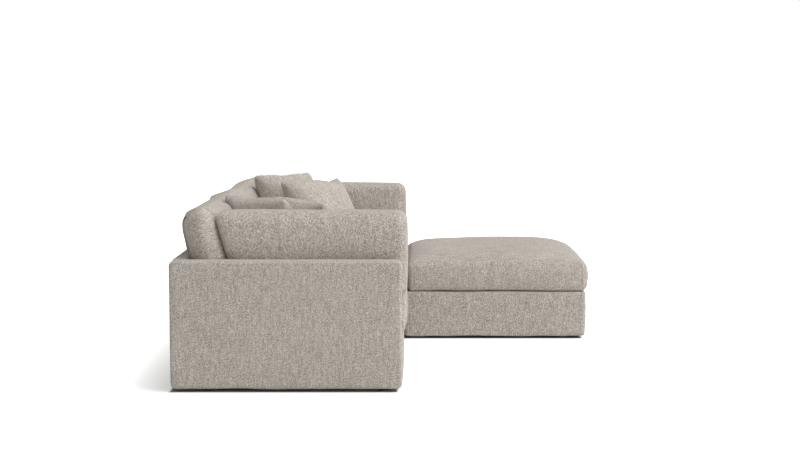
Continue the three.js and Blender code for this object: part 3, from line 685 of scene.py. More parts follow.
def arm_stuffing(side, sizes):
    outer = inner_half + sizes.arm_overhang
    inner = inner_half - sizes.arm_thickness
    bottom = deck_top + sizes.arm_foot_rise
    height = sizes.arm_top - bottom
    front = front_y - sizes.arm_proud
    rear = back_face_y - sizes.back_foot_reach + sizes.arm_tuck
    half = ((outer - inner) / 2, (rear - front) / 2, height / 2)
    over_arm = (arm_high.z - bottom) / height
    recess_above, recess_below = 0.016, 0.013

    def rise(a, b):
        return 0.004 * crown_share(b, 4)

    boxed = boxed_shape(half, sizes.arm_edge, sizes.arm_edge + 0.004, 0.005, rise)

    def shape(share):
        places = boxed(share)
        a, b, c = share.T
        along = places[:, 1] / (2 * half[1]) + 0.5
        up = places[:, 2] / height + 0.5
        inward = -side * a
        crown = sizes.arm_crown * np.maximum(inward, 0)
        crown = crown * crown_share(2 * along - 1, 4) * crown_share(2 * up - 1, 2)
        above = (up - over_arm) / (1 - over_arm)
        recess = recess_above * (2 * above - 0.9) ** 2 * np.maximum(-inward, 0) * (above > 0)
        recess += recess_below * np.maximum(-inward, 0) * (above <= 0)
        places[:, 0] -= side * (crown + recess)
        places[:, 1] += along * up * height * math.tan(sizes.back_lean)
        return places

    seams = box_seams(half, None, 0, depth=0.08, folds=0.4)
    middle = Vector((side * (outer + inner) / 2, (front + rear) / 2, bottom + height / 2))
    return Stuffing(f"{side_name(side)}_arm_cushion", half, shape, seams, Matrix.Translation(middle),
                    8 if side < 0 else 9, keep=0.3, tightness=0.1)


# A pillow's width, its middle's distance from the arm cushion's inner face and from the back cushion's
# foot, and how far it sinks into the seat's crown, as shares of the widest pillow; its turn, its lean and
# how far it is tipped in its own plane; the place, the reach and the depth of the dent in its top edge
Pillow = namedtuple("Pillow", "name side width from_arm from_back sink turn lean roll dent reach depth")
pillow_shares = (
    Pillow("left_rear_pillow", -1, 1, 0.586, 0.228, 0.108, 46, 27, 0, 0.28, 0.22, 0.028),
    Pillow("left_front_pillow", -1, 0.982, 0.926, 0.70, 0.06, 42, 38, 2, -0.10, 0.5, 0.045),
    Pillow("right_rear_pillow", 1, 0.978, 0.564, 0.280, 0.012, 41, 28, 0, -0.12, 0.3, 0.016),
    Pillow("right_front_pillow", 1, 1.02, 0.917, 0.699, 0.058, 42, 33, 0, 0.5, 0.3, 0.04),
)


def pillow_stuffing(pillow, number, sizes):
    widest = sizes.pillow_width
    width = pillow.width * widest
    half = (width / 2, width / 2, sizes.pillow_thickness / 2)
    roundness = 2.6

    def shape(share):
        a, b, face = share.T
        fullness = ((1 - np.abs(a) ** roundness) * (1 - np.abs(b) ** roundness)) ** 0.5
        dent = pillow.depth * widest * np.exp(-(((a - pillow.dent) / pillow.reach) ** 2))
        dent = dent * np.maximum(b, 0) ** 2
        flat = np.stack([a, b], axis=1) * width / 2
        core = np.clip(flat, sizes.pillow_ear - width / 2, width / 2 - sizes.pillow_ear)
        out = flat - core
        reach = np.max(np.abs(out), axis=1, keepdims=True)
        flat = core + out / lengths(out) * reach
        x = flat[:, 0] - a * sizes.pillow_draw_in * (1 - b**2)
        y = flat[:, 1] - b * sizes.pillow_draw_in * (1 - a**2) - dent
        return np.stack([x, y, face * fullness * sizes.pillow_thickness / 2], axis=1)

    seams = [Seam(1 - axis, {axis: half[axis]}, -half[0], half[0], 0.5, 1.2) for axis in (0, 1)]
    lean = math.radians(pillow.lean)
    crown_top = deck_top + touch_gap + sizes.seat_height + sizes.seam_lift + sizes.seat_crown
    turn = Matrix.Translation((
        pillow.side * (inner_half - sizes.arm_thickness - pillow.from_arm * widest),
        back_face_y - sizes.back_foot_reach - pillow.from_back * widest,
        crown_top + width / 2 * math.cos(lean) - pillow.sink * widest,
    ))
    turn = turn @ Matrix.Rotation(-pillow.side * math.radians(pillow.turn), 4, "Z")
    turn = turn @ Matrix.Rotation(math.pi / 2 - lean, 4, "X")
    turn = turn @ Matrix.Rotation(math.radians(pillow.roll), 4, "Z")
    return Stuffing(pillow.name, half, shape, seams, turn, 10 + number, step=0.009, rough_step=0.016,
                    is_pillow=True)


made = {}


def stuffed(name):
    """The stuffed piece of that name. The first call makes and plumps them all together."""
    sizes = bpy.context.scene.sofa_sizes
    if not made:
        every = [seat_stuffing(-1, sizes), seat_stuffing(1, sizes), chaise_stuffing(sizes)]
        every += [back_stuffing(-1, sizes), back_stuffing(1, sizes)]
        every += [arm_stuffing(-1, sizes), arm_stuffing(1, sizes)]
        every += [pillow_stuffing(pillow, number, sizes) for number, pillow in enumerate(pillow_shares)]
        simulate(every)
        made.update({stuffing.name: stuffing for stuffing in every})
    return made[name]


skins = {}


def skin(name):
    """The corners and tree of a piece that is already in place, for its neighbours to press on."""
    if name not in skins:
        raise RuntimeError(f"{name} has to be made before what presses on it")
    return skins[name]


def place_cushion(name, body, pressing):
    stuffing = stuffed(name)
    points = stuffing.points(bpy.context.scene.sofa_sizes)
    if pressing:
        points = pressed(points, stuffing.quads, [skin(other) for other in pressing])
    skins[name] = neighbour(points, stuffing.quads)
    cloth = cloth_places(stuffing.sheets, points, stuffing.seed)
    make_piece(name + "_stuffed", points, stuffing.quads, cloth, body, [name])


# Padded covers

class CoverSkin:
    """A cover's skin: a box with rounded edges, and rounder corners about one axis. Its insets say how far
    from the sides lines of points run, and in height how far from the top."""

    def __init__(self, low, high, steps, insets, edge, corner, axis):
        low, high = np.array(low), np.array(high)
        self.middle = (low + high) / 2
        self.half = (high - low) / 2
        lines = []
        for k, half in enumerate(self.half):
            stops = [side * (half - inset) for inset in insets[k] for side in ((1, -1) if k < 2 else (1,))]
            lines.append(seam_lines(2 * half, steps[k], stops))
        self.shares, self.sheets = box_sheets(lines)
        self.quads = quads_of(self.sheets)
        self.flat = self.shares * self.half
        self.points = rounded_box(self.shares, self.half, edge, corner, axis)

    def on_end(self, axis):
        return np.abs(np.abs(self.shares[:, axis]) - 1) < 1e-6

    def swell(self, amounts):
        self.points = self.points + point_normals(self.points, self.quads) * amounts[:, None]

    def wave_hem(self, along, length, seed, share):
        """Lets the lower hem rise and fall."""
        hem = smoothstep(-self.flat[:, 2], self.half[2] - hem_reach, self.half[2])
        height = bpy.context.scene.sofa_sizes.hem_wave
        self.points[:, 2] += hem * height * waves(along, length, seed + 3) * share

    def cut_out(self, number, wall):
        """Marks the faces of a level sheet that lie within a wall, and lists the edges round them."""
        counts = [(len(sheet.first) - 1) * (len(sheet.second) - 1) for sheet in self.sheets]
        start = sum(counts[:number])
        faces = slice(start, start + counts[number])
        middle = self.flat[self.quads[faces]].mean(axis=1)
        cut = np.zeros(len(self.quads), bool)
        cut[faces] = np.all(np.abs(middle[:, :2]) < self.half[:2] - wall, axis=1)
        edges = {(int(a), int(b)): None for face in self.quads[cut] for a, b in zip(face, np.roll(face, -1))}
        return cut, [edge for edge in edges if edge[::-1] not in edges]

    def place(self, name, faces, cloth, body, nodes):
        points = self.points + self.middle
        skins[name] = neighbour(points, faces)
        make_piece(name + "_padded", points, faces, cloth, body, nodes)


def panel_seam(gap, along, on_panel, seed, depth, folds, spacing):
    """How far a panel's points move out beside its seam: a groove, and small folds along it."""
    sizes = bpy.context.scene.sofa_sizes
    groove = -depth * sizes.seam_depth * np.exp(-gap / sizes.seam_width) * on_panel
    fold = folds * sizes.pucker_height * waves(along, spacing, seed) * np.exp(-gap / fold_reach) * on_panel
    return groove + fold


def inset_of(across, up, half_across, top, corner):
    """How far a place lies inside an outline with rounded upper corners."""
    from_side = half_across - np.abs(across)
    from_top = top - up
    round_in = corner - np.hypot(np.maximum(corner - from_side, 0), np.maximum(corner - from_top, 0))
    return np.where((from_side < corner) & (from_top < corner), round_in, np.minimum(from_side, from_top))


def cover_piece(name, axis, seed):
    """An arm or back cover that lies across one axis, with a pocket open under its hem."""
    sizes = bpy.context.scene.sofa_sizes
    run = 1 - axis
    edge, corner, wall = sizes.cover_edge, sizes.cover_corner, sizes.padding
    insets = {axis: (wall,), run: (wall, edge), 2: (edge,)}
    cover = CoverSkin(*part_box(name), (0.013, 0.013, 0.013), insets, edge, corner, axis)
    half, across, up = cover.half, cover.flat[:, run], cover.flat[:, 2]
    inset = inset_of(across, up, half[run], half[2], corner)
    along = np.where(half[run] - np.abs(across) < half[2] - up, up, across)
    seam = panel_seam(np.abs(inset - edge), along, cover.on_end(axis), seed, 0.35, 0.35, 0.04)
    cover.swell(seam + swell_height * unevenness(cover.flat, swell_length, seed) * smoothstep(inset, 0, 0.06))
    cover.wave_hem(across, 0.36, seed, 0.5)

    cut, rim = cover.cut_out(4, wall)
    hole = cover.quads[cut]
    numbers = np.unique(hole)
    copy = {int(number): len(cover.points) + k for k, number in enumerate(numbers)}
    roof = cover.points[numbers]
    roof[:, 2] = half[2] - wall
    walls = np.array([[a, b, copy[b], copy[a]] for a, b in rim])
    roof_faces = np.array([[copy[int(k)] for k in face] for face in hole])
    cover.points = np.concatenate([cover.points, roof])
    cloth = cloth_places(cover.sheets, cover.points, seed)[~cut]
    wall_cloth = cover.points[walls][:, :, [run, 2, axis]]
    roof_cloth = cover.points[roof_faces][:, :, [axis, run, 2]]
    faces = np.concatenate([cover.quads[~cut], walls, roof_faces])
    cover.place(name, faces, np.concatenate([cloth, wall_cloth, roof_cloth]), "sofa", [name])


def ring_piece(name, nodes, seed):
    """The cover round the chaise's box: a padded ring with rounded upright corners."""
    sizes = bpy.context.scene.sofa_sizes
    corner, wall = sizes.base_corner, sizes.base_padding
    side_seam, belly = corner + 0.004, 0.003
    insets = ((wall,), (wall, side_seam), ())
    cover = CoverSkin(chaise_low, chaise_high, (0.012, 0.012, 0.012), insets, sizes.base_edge, corner, 2)
    half, flat = cover.half, cover.flat
    gap = np.abs(half[1] - side_seam - np.abs(flat[:, 1]))
    seam = panel_seam(gap, flat[:, 2], cover.on_end(0), seed, 0.55, 0.3, 0.05)
    slow = swell_height * unevenness(flat, swell_length, seed)
    cover.swell(seam + slow + belly * (1 - cover.shares[:, 2] ** 2))
    cover.wave_hem(flat[:, 0] + flat[:, 1], 0.33, seed, 0.6)
    cover.points[:, 1] = np.minimum(cover.points[:, 1], half[1])

    lower_cut, lower_rim = cover.cut_out(4, wall)
    upper_cut, upper_rim = cover.cut_out(5, wall)
    keep = ~(lower_cut | upper_cut)
    places = [tuple(place) for place in np.round(flat[:, :2], 5).tolist()]
    above = {places[k]: k for edge in upper_rim for k in edge}
    walls = np.array([[a, b, above[places[b]], above[places[a]]] for a, b in sorted(lower_rim)])
    cloth = cloth_places(cover.sheets, cover.points, seed)[keep]
    faces = np.concatenate([cover.quads[keep], walls])
    cover.place(name, faces, np.concatenate([cloth, cover.points[walls]]), "chaise", nodes)


def apron_piece(name, seed):
    """The padded cover in front of the seat box. Its front draws back at its ends to meet the arms."""
    edge = bpy.context.scene.sofa_sizes.base_edge
    steps, insets = (0.013, 0.006, 0.012), ((), (), ())
    cover = CoverSkin(seat_cover_low, seat_cover_high, steps, insets, edge, edge + 0.005, 1)
    cover.swell(0.0012 * unevenness(cover.flat, swell_length, seed))
    cover.points[:, 1] = np.maximum(cover.points[:, 1], -cover.half[1])
    set_back = seat_cover_low.y - front_y
    cover.points[:, 1] -= set_back * np.abs(cover.shares[:, 0]) ** 2.5 * (cover.shares[:, 1] < 0)
    cover.wave_hem(cover.flat[:, 0], 0.33, seed, 0.6)
    cover.place(name, cover.quads, cloth_places(cover.sheets, cover.points, seed), "sofa", [name])


# Materials

def feed(tree, socket, value):
    """Links a socket to another one, or sets its value."""
    if isinstance(value, bpy.types.NodeSocket):
        tree.links.new(value, socket)
    else:
        socket.default_value = value


def add_node(tree, kind, inputs=None, **settings):
    node = tree.nodes.new("ShaderNode" + kind)
    for name, value in settings.items():
        setattr(node, name, value)
    for key, value in (inputs or {}).items():
        feed(tree, node.inputs[key], value)
    return node


def maths(tree, operation, *values):
    return add_node(tree, "Math", dict(enumerate(values)), operation=operation).outputs[0]


def vector_maths(tree, operation, *values):
    return add_node(tree, "VectorMath", dict(enumerate(values)), operation=operation).outputs[0]


def separated(tree, vector):
    return add_node(tree, "SeparateXYZ", {0: vector}).outputs


def combined(tree, *parts):
    return add_node(tree, "CombineXYZ", dict(enumerate(parts))).outputs[0]


def grey(tree, value):
    return combined(tree, value, value, value)


def mixed_values(tree, share, first, second):
    return add_node(tree, "Mix", {0: share, 2: first, 3: second}, data_type="FLOAT").outputs[0]


def mixed_colours(tree, share, first, second, blend="MIX"):
    inputs = {0: share, 6: first, 7: second}
    return add_node(tree, "Mix", inputs, data_type="RGBA", blend_type=blend).outputs[2]


def ranged(tree, value, low, high, to_low=0.0, to_high=1.0):
    return add_node(tree, "MapRange", {0: value, 1: low, 2: high, 3: to_low, 4: to_high}).outputs[0]


def noise(tree, vector, scale, detail=0.0, roughness=0.5):
    inputs = {"Vector": vector, "Scale": scale, "Detail": detail, "Roughness": roughness}
    return add_node(tree, "TexNoise", inputs).outputs[0]


def new_group(name, inputs, outputs):
    """A node group with named sockets, given as (name, kind, default)."""
    tree = bpy.data.node_groups.new(name, "ShaderNodeTree")
    for label, kind, default in inputs:
        socket = tree.interface.new_socket(name=label, in_out="INPUT", socket_type="NodeSocket" + kind)
        if default is not None:
            socket.default_value = default
    for label, kind in outputs:
        tree.interface.new_socket(name=label, in_out="OUTPUT", socket_type="NodeSocket" + kind)
    return tree, tree.nodes.new("NodeGroupInput"), tree.nodes.new("NodeGroupOutput")


def weave_group():
    """Warp and weft that cross over and under, each yarn lighter and darker along its length."""
    name = "heathered_weave"
    if name in bpy.data.node_groups:
        return bpy.data.node_groups[name]
    tree, given, result = new_group(name, [
        ("Place", "Vector", None), ("Yarn", "Color", (0.4, 0.4, 0.4, 1)),
        ("Light fleck", "Color", (0.8, 0.8, 0.8, 1)), ("Dark fleck", "Color", (0.1, 0.1, 0.1, 1)),
        ("Pitch", "Float", 0.003), ("Slub length", "Float", 8.0), ("Heather", "Float", 1.0),
    ], [("Color", "Color"), ("Height", "Float"), ("Roughness", "Float")])
    place, pitch, slub_length = (given.outputs[key] for key in ("Place", "Pitch", "Slub length"))
    yarn, light_fleck, dark_fleck = (given.outputs[key] for key in ("Yarn", "Light fleck", "Dark fleck"))
    sway_size, sway_scale, weft_slub, weft_start = 0.003, 60.0, 2.5, 31.0
    fleck_share, warp_share, yarn_share, middle_tone, full_fleck = 1.6, 0.27, 0.2, 1.035, 0.26

    sway = add_node(tree, "TexNoise", {"Vector": place, "Scale": sway_scale, "Detail": 1.0}).outputs[1]
    sway = vector_maths(tree, "SUBTRACT", sway, (0.5, 0.5, 0.5))
    swayed = vector_maths(tree, "MULTIPLY_ADD", sway, (sway_size, sway_size, 0.0), place)
    over_pitch = maths(tree, "DIVIDE", 1.0, pitch)
    in_yarns = add_node(tree, "VectorMath", {0: swayed, "Scale": over_pitch}, operation="SCALE").outputs[0]
    across, up, panel = separated(tree, in_yarns)
    waved = [maths(tree, "SINE", maths(tree, "MULTIPLY", value, math.pi)) for value in (across, up)]
    rounded = [maths(tree, "ABSOLUTE", value) for value in waved]
    warp_over = maths(tree, "GREATER_THAN", maths(tree, "MULTIPLY", *waved), 0.0)
    profile = mixed_values(tree, warp_over, rounded[1], rounded[0])

    warp_tone = noise(tree, combined(tree, across, maths(tree, "DIVIDE", up, slub_length), panel), 0.62)
    weft_panel = maths(tree, "ADD", panel, weft_start)
    weft_tone = noise(tree, combined(tree, maths(tree, "DIVIDE", across, weft_slub), up, weft_panel), 0.9)
    fleck = noise(tree, vector_maths(tree, "MULTIPLY", in_yarns, (1.25, 0.85, 1.0)), 1.0)
    yarn_tone = mixed_values(tree, warp_over, weft_tone, warp_tone)
    streaks = maths(tree, "MULTIPLY", yarn_tone, yarn_share)
    streaks = maths(tree, "MULTIPLY_ADD", warp_tone, warp_share, streaks)
    tone = maths(tree, "SUBTRACT", maths(tree, "MULTIPLY_ADD", fleck, fleck_share, streaks), middle_tone)
    tone = maths(tree, "MULTIPLY", tone, given.outputs["Heather"])

    colour = mixed_colours(tree, ranged(tree, tone, 0.02, full_fleck), yarn, light_fleck)
    colour = mixed_colours(tree, ranged(tree, tone, -0.02, -full_fleck), colour, dark_fleck)
    # Painted shade and highlight: the colour is darker in the gaps between yarns and a little lighter on their
    # crowns, where the yarns shade each other and catch the light; shade also holds a slow random tone
    gaps = ranged(tree, profile, 0.0, 0.7, 0.74, 1.04)
    shade = maths(tree, "MULTIPLY", gaps, ranged(tree, noise(tree, place, 4.0, 2.0), 0.3, 0.7, 0.975, 1.025))
    feed(tree, result.inputs["Color"], mixed_colours(tree, 1.0, colour, grey(tree, shade), "MULTIPLY"))
    feed(tree, result.inputs["Height"], maths(tree, "MULTIPLY_ADD", tone, 0.9, profile))
    feed(tree, result.inputs["Roughness"], ranged(tree, profile, 0.0, 1.0, 0.98, 0.86))
    return tree


def fibre_group():
    """Short matted fibres, for felt and for bonded cloth."""
    name = "matted_fibres"
    if name in bpy.data.node_groups:
        return bpy.data.node_groups[name]
    tree, given, result = new_group(name, [
        ("Place", "Vector", None), ("Base", "Color", (0.3, 0.3, 0.3, 1)), ("Spread", "Float", 0.3),
        ("Fineness", "Float", 900.0),
    ], [("Color", "Color"), ("Height", "Float")])
    place, fineness = given.outputs["Place"], given.outputs["Fineness"]
    fibre_stretch, patch_scale, patch_share, middle_tone, contrast = 0.22, 14.0, 0.35, 0.675, 6.0
    first = noise(tree, vector_maths(tree, "MULTIPLY", place, (1.0, fibre_stretch, 1.0)), fineness, 2.0)
    second = noise(tree, vector_maths(tree, "MULTIPLY", place, (fibre_stretch, 1.0, 1.0)), fineness, 2.0)
    tone = maths(tree, "MULTIPLY", maths(tree, "ADD", first, second), 0.5)
    patchy = maths(tree, "MULTIPLY_ADD", noise(tree, place, patch_scale, 3.0), patch_share, tone)
    lift = maths(tree, "MULTIPLY", maths(tree, "SUBTRACT", patchy, middle_tone), given.outputs["Spread"])
    shade = grey(tree, maths(tree, "MULTIPLY_ADD", lift, contrast, 1.0))
    feed(tree, result.inputs["Color"], mixed_colours(tree, 1.0, given.outputs["Base"], shade, "MULTIPLY"))
    feed(tree, result.inputs["Height"], tone)
    return tree


def opaque(colour):
    return (*colour, 1.0)


def shader_tree(data):
    data.use_nodes = True
    data.node_tree.nodes.clear()
    return data.node_tree


def new_material(name, sheen=0.0):
    """A material with its tree and its shader."""
    material = bpy.data.materials.new(name)
    material.use_nodes = True
    tree = material.node_tree
    shader = tree.nodes["Principled BSDF"]
    if sheen:
        shader.inputs["Sheen Weight"].default_value = sheen
        shader.inputs["Sheen Roughness"].default_value = 0.45
    return material, tree, shader


def finish_shader(tree, shader, colour, roughness, height, distance, strength):
    bump = add_node(tree, "Bump", {"Height": height, "Distance": distance, "Strength": strength})
    feed(tree, shader.inputs["Base Color"], colour)
    feed(tree, shader.inputs["Roughness"], roughness)
    feed(tree, shader.inputs["Normal"], bump.outputs[0])


def object_place(tree, thing=None):
    return add_node(tree, "TexCoord", object=thing).outputs["Object"]


def woven(tree, shader, place, colours, pitch, slub_length, heather, distance, strength):
    """Weaves a shader's colours: the yarn's, the light fleck's and the dark one's."""
    yarn, light, dark = colours
    weave = add_node(tree, "Group", {
        "Place": place, "Yarn": opaque(yarn), "Light fleck": opaque(light), "Dark fleck": opaque(dark),
        "Pitch": pitch, "Slub length": slub_length, "Heather": heather,
    }, node_tree=weave_group()).outputs
    finish_shader(tree, shader, weave["Color"], weave["Roughness"], weave["Height"], distance, strength)


def upholstery():
    name = "woven_linen"
    if name in bpy.data.materials:
        return bpy.data.materials[name]
    finishes = bpy.context.scene.sofa_finishes
    material, tree, shader = new_material(name, sheen=0.22)
    shader.inputs["Specular IOR Level"].default_value = 0.2
    cloth = add_node(tree, "Attribute", attribute_name="cloth").outputs["Vector"]
    colours = (finishes.yarn, finishes.light_fleck, finishes.dark_fleck)
    woven(tree, shader, cloth, colours, finishes.yarn_pitch, 9.0, 0.63, 0.0006, 0.6)
    return material


def timber_material(timber):
    """Planed softwood with long grain and growth rings."""
    material, tree, shader = new_material("planed_softwood")
    place = object_place(tree)
    stretched = vector_maths(tree, "MULTIPLY", place, (6.0, 0.7, 22.0))
    drift = noise(tree, stretched, 1.2, 3.0, 0.6)
    x, _, z = separated(tree, stretched)
    ring_place = maths(tree, "MULTIPLY_ADD", drift, 7.0, maths(tree, "ADD", z, x))
    rings = maths(tree, "POWER", maths(tree, "MULTIPLY_ADD", maths(tree, "SINE", ring_place), 0.5, 0.5), 2.5)
    fine = noise(tree, vector_maths(tree, "MULTIPLY", place, (160.0, 12.0, 420.0)), 1.0, 2.0)
    early = [min(1.0, part * 1.22 + 0.03) for part in timber]
    pores = [0.5 * part for part in timber]
    colour = mixed_colours(tree, rings, opaque(early), opaque(timber))
    colour = mixed_colours(tree, ranged(tree, fine, 0.35, 0.75, 0.0, 0.35), colour, opaque(pores))
    height = maths(tree, "MULTIPLY_ADD", rings, 0.4, fine)
    finish_shader(tree, shader, colour, ranged(tree, rings, 0.0, 1.0, 0.66, 0.5), height, 0.0005, 0.4)
    return material


def webbing_material(dark):
    """Dark elastic webbing, woven finer than the upholstery."""
    material, tree, shader = new_material("woven_elastic")
    colours = (dark, [min(1, 3.2 * part) for part in dark], [0.4 * part for part in dark])
    woven(tree, shader, object_place(tree), colours, 0.0016, 14.0, 0.8, 0.0004, 0.7)
    return material


def fibre_material(name, base, spread, fineness, roughness):
    material, tree, shader = new_material(name, sheen=0.1)
    fibres = add_node(tree, "Group", {
        "Place": object_place(tree), "Base": opaque(base), "Spread": spread, "Fineness": fineness,
    }, node_tree=fibre_group()).outputs
    finish_shader(tree, shader, fibres["Color"], roughness, fibres["Height"], 0.0005, 0.5)
    return material


def glide_material(plastic):
    """Moulded black plastic with a fine grain, paler where it has rubbed on the floor."""
    material, tree, shader = new_material("moulded_plastic")
    place = object_place(tree)
    grain = noise(tree, place, 1400.0, 2.0)
    scuffs = ranged(tree, noise(tree, place, 160.0, 3.0), 0.4, 0.6)
    worn = maths(tree, "MULTIPLY", ranged(tree, separated(tree, place)[2], 0.004, 0.0), scuffs)
    colour = mixed_colours(tree, worn, opaque(plastic), opaque([4.0 * part for part in plastic]))
    finish_shader(tree, shader, colour, ranged(tree, grain, 0.3, 0.7, 0.42, 0.6), grain, 0.0002, 0.5)
    return material


def directly_seen(tree):
    """One for what the camera sees itself, in a shine or through glass, and zero for light."""
    path = add_node(tree, "LightPath").outputs
    seen = maths(tree, "MAXIMUM", path["Is Camera Ray"], path["Is Glossy Ray"])
    return maths(tree, "MAXIMUM", seen, path["Is Transmission Ray"])


class SOFA_OT_frame_finishes(bpy.types.Operator):
    """Give the timber, webbing, cloths and glide feet their finishes"""
    bl_idname = "sofa.frame_finishes"
    bl_label = "Frame finishes"

    def execute(self, context):
        finishes = context.scene.sofa_finishes
        timber = timber_material(finishes.timber)
        felt = fibre_material("matted_felt", finishes.felt, 0.35, 700.0, 0.95)
        dust_cloth = fibre_material("bonded_cloth", finishes.dust_cloth, 0.5, 500.0, 0.9)
        kinds = {
            "_frame": ("frame_timber", timber),
            "_rail": ("frame_timber", timber),
            "_strap": ("elastic_webbing", webbing_material(finishes.webbing)),
            "_deck": ("deck_felt", felt),
            "_dust_cover": ("dust_cloth", dust_cloth),
            "_foot": ("foot_plastic", glide_material(finishes.glide)),
        }
        for name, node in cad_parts.items():
            for part, (slot, material) in kinds.items():
                if part in name:
                    for holder in node.material_slots:
                        holder.material = material
        return {"FINISHED"}


class SOFA_OT_covers(bpy.types.Operator):
    """Make the padded covers of the arms, the back and the front of the seat box"""
    bl_idname = "sofa.covers"
    bl_label = "Covers"

    def execute(self, context):
        cover_piece("left_arm_cover", 0, 21)
        cover_piece("right_arm_cover", 0, 22)
        cover_piece("back_cover", 1, 23)
        apron_piece("seat_front_cover", 24)
        return {"FINISHED"}


class SOFA_OT_chaise_base(bpy.types.Operator):
    """Make the padded cover round the chaise's box"""
    bl_idname = "sofa.chaise_base"
    bl_label = "Chaise base"

    def execute(self, context):
        nodes = [f"chaise_{side}_cover" for side in ("front", "right", "rear", "left")]
        ring_piece("chaise_base", nodes, 25)
        return {"FINISHED"}


class SOFA_OT_seat_cushions(bpy.types.Operator):
    """Make the two seat cushions and the chaise's cushion"""
    bl_idname = "sofa.seat_cushions"
    bl_label = "Seat cushions"

    def execute(self, context):
        for side in ("left", "right"):
            pressing = [f"{side}_arm_cover", "back_cover"]
            if side == "right":
                pressing.append("left_seat_cushion")
            place_cushion(f"{side}_seat_cushion", f"{side}_seat_body", pressing)
        place_cushion("chaise_cushion", "chaise_cushion_body", [])
        return {"FINISHED"}


class SOFA_OT_back_cushions(bpy.types.Operator):
    """Make the two back cushions"""
    bl_idname = "sofa.back_cushions"
    bl_label = "Back cushions"

    def execute(self, context):
        for side in ("left", "right"):
            pressing = [f"{side}_seat_cushion", "back_cover", f"{side}_arm_cover"]
            if side == "right":
                pressing.append("left_back_cushion")
            place_cushion(f"{side}_back_cushion", f"{side}_back_body", pressing)
        return {"FINISHED"}


class SOFA_OT_arm_cushions(bpy.types.Operator):
    """Make the two arm cushions"""
    bl_idname = "sofa.arm_cushions"
    bl_label = "Arm cushions"

    def execute(self, context):
        for side in ("left", "right"):
            pressing = [f"{side}_seat_cushion", f"{side}_arm_cover", f"{side}_back_cushion"]
            place_cushion(f"{side}_arm_cushion", f"{side}_arm_body", pressing)
        return {"FINISHED"}


class SOFA_OT_throw_pillows(bpy.types.Operator):
    """Make the four throw pillows"""
    bl_idname = "sofa.throw_pillows"
    bl_label = "Throw pillows"

    def execute(self, context):
        for pillow in pillow_shares:
            side = "left" if pillow.side < 0 else "right"
            pressing = [f"{side}_seat_cushion", f"{side}_back_cushion", f"{side}_arm_cushion"]
            place = pillow.name.split("_")[1]
            if place == "front":
                pressing.append(f"{side}_rear_pillow")
            place_cushion(pillow.name, f"{side}_{place}_pillow_body", pressing)
        return {"FINISHED"}


# What the lamps stand toward, and where the low one stands; and how the light from all round leans
toward_key = Vector((-0.05, -0.50, 0.86))
toward_fill = Vector((-2.5, -1.8, 0.2))
fill_place = (-2.4, -2.3, 0.55)
fill_size = 1.6
sky_lean = (-0.42, -0.78, 0.0)
floor_reach = 14.0


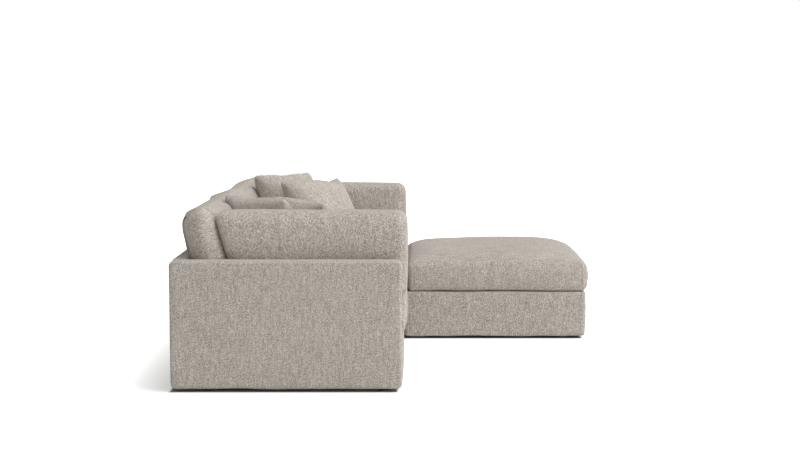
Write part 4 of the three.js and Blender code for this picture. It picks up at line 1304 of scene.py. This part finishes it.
class SOFA_OT_stage(bpy.types.Operator):
    """Set the camera, the lamps, the white surround and the floor"""
    bl_idname = "sofa.stage"
    bl_label = "Stage"

    def execute(self, context):
        studio = context.scene.sofa_studio
        context.scene.view_settings.view_transform = "Standard"
        self.add_camera(context, studio)
        self.add_sky(context, studio)
        self.add_lamps(studio)
        self.add_floor(context, studio)
        return {"FINISHED"}

    def add_camera(self, context, studio):
        data = bpy.data.cameras.new("camera")
        data.lens = studio.camera_lens
        data.sensor_width = 36
        data.clip_end = 60
        camera = add_object("camera", data)
        camera.location = (-studio.camera_reach, 0, studio.camera_height)
        camera.rotation_euler = (math.pi / 2 - studio.camera_pitch, 0, -math.pi / 2)
        context.scene.camera = camera

    def add_sky(self, context, studio):
        world = bpy.data.worlds.new("white_surround")
        context.scene.world = world
        tree = shader_tree(world)
        way = add_node(tree, "TexCoord").outputs["Generated"]
        lean = add_node(tree, "VectorMath", {0: way, 1: sky_lean}, operation="DOT_PRODUCT").outputs["Value"]
        strength = maths(tree, "MULTIPLY", maths(tree, "ADD", lean, 1.0), studio.sky_strength)
        strength = mixed_values(tree, directly_seen(tree), strength, 1.0)
        background = add_node(tree, "Background", {"Color": (1, 1, 1, 1), "Strength": strength})
        add_node(tree, "OutputWorld", {0: background.outputs[0]})

    def add_lamp(self, name, kind, energy, place, toward):
        lamp = add_object(name, bpy.data.lights.new(name, kind))
        lamp.data.energy = energy
        lamp.location = place
        lamp.rotation_euler = toward.to_track_quat("Z", "Y").to_euler()
        return lamp

    def add_lamps(self, studio):
        key = self.add_lamp("key_lamp", "SUN", studio.key_strength, toward_key * 6, toward_key)
        key.data.angle = studio.key_spread
        fill = self.add_lamp("fill_lamp", "AREA", studio.fill_power, fill_place, toward_fill)
        fill.data.size = fill_size
        fill.visible_camera = False

    def add_floor(self, context, studio):
        corners = [(x * floor_reach, y * floor_reach, 0) for x, y in ((-1, -1), (1, -1), (1, 1), (-1, 1))]
        mesh = bpy.data.meshes.new("floor")
        mesh.from_pydata(corners, [], [(0, 1, 2, 3)])
        add_object("floor", mesh)
        material = bpy.data.materials.new("white_floor")
        mesh.materials.append(material)
        tree = shader_tree(material)
        corner = context.scene.sofa_sizes.base_corner
        base = bpy.data.objects["chaise_base_padded"]
        sofa = (arm_low.x, -arm_low.x, arm_low.y + corner, back_high.y)
        chaise = (chaise_low.x, chaise_high.x, chaise_low.y + corner, chaise_high.y)
        beyond_sofa = self.distance(tree, object_place(tree), *sofa)
        beyond_chaise = self.distance(tree, object_place(tree, base), *chaise)
        beyond = maths(tree, "MINIMUM", beyond_sofa, beyond_chaise)
        outside = ranged(tree, beyond, 0.0, 0.01)
        clear = maths(tree, "MULTIPLY", outside, ranged(tree, beyond, 0.05, 0.5, studio.floor_glow, 1.0))
        seen = directly_seen(tree)
        glow = maths(tree, "MULTIPLY", seen, clear)
        # Painted shadow: the floor's own colour is darkened to about a third under the hems of the sofa and the
        # chaise and for a few millimetres beside them, following the chaise
        near = ranged(tree, beyond, -0.004, 0.008, 0.35, 1.0)
        tone = ranged(tree, seen, 0.0, 1.0, studio.floor_bounce, studio.floor_tone)
        matt = add_node(tree, "BsdfDiffuse", {"Color": grey(tree, maths(tree, "MULTIPLY", near, tone))})
        shine = add_node(tree, "Emission", {"Color": (1, 1, 1, 1), "Strength": glow})
        both = add_node(tree, "AddShader", {0: matt.outputs[0], 1: shine.outputs[0]})
        add_node(tree, "OutputMaterial", {0: both.outputs[0]})

    def distance(self, tree, place, left, right, near, far):
        """How far a place on the floor lies outside a rectangle."""
        x, y, _ = separated(tree, place)
        beyond = []
        for value, low, high in ((x, left, right), (y, near, far)):
            from_middle = maths(tree, "ABSOLUTE", maths(tree, "SUBTRACT", value, (low + high) / 2))
            beyond.append(maths(tree, "SUBTRACT", from_middle, (high - low) / 2))
        return maths(tree, "MAXIMUM", *beyond)


class SOFA_PT_sofa(bpy.types.Panel):
    """The sofa's steps and settings"""
    bl_idname = "SOFA_PT_sofa"
    bl_label = "Sofa"
    bl_space_type = "VIEW_3D"
    bl_region_type = "UI"
    bl_category = "Sofa"

    def draw(self, context):
        for operator in operators:
            self.layout.operator(operator.bl_idname)
        for group in (context.scene.sofa_sizes, context.scene.sofa_finishes, context.scene.sofa_studio):
            box = self.layout.box()
            for name in group.__annotations__:
                box.prop(group, name)


operators = (
    SOFA_OT_frame_finishes, SOFA_OT_covers, SOFA_OT_chaise_base, SOFA_OT_seat_cushions, SOFA_OT_back_cushions,
    SOFA_OT_arm_cushions, SOFA_OT_throw_pillows, SOFA_OT_stage,
)
settings = (SofaSizes, SofaFinishes, SofaStudio)


def register():
    for kind in (*settings, *operators, SOFA_PT_sofa):
        bpy.utils.register_class(kind)
    bpy.types.Scene.sofa_sizes = PointerProperty(type=SofaSizes)
    bpy.types.Scene.sofa_finishes = PointerProperty(type=SofaFinishes)
    bpy.types.Scene.sofa_studio = PointerProperty(type=SofaStudio)


def unregister():
    del bpy.types.Scene.sofa_studio
    del bpy.types.Scene.sofa_finishes
    del bpy.types.Scene.sofa_sizes
    for kind in (SOFA_PT_sofa, *reversed(operators), *reversed(settings)):
        bpy.utils.unregister_class(kind)


def main():
    register()
    bpy.ops.sofa.frame_finishes()
    bpy.ops.sofa.covers()
    bpy.ops.sofa.chaise_base()
    bpy.ops.sofa.seat_cushions()
    bpy.ops.sofa.back_cushions()
    bpy.ops.sofa.arm_cushions()
    bpy.ops.sofa.throw_pillows()
    bpy.ops.sofa.stage()


if __name__ == "__main__":
    main()
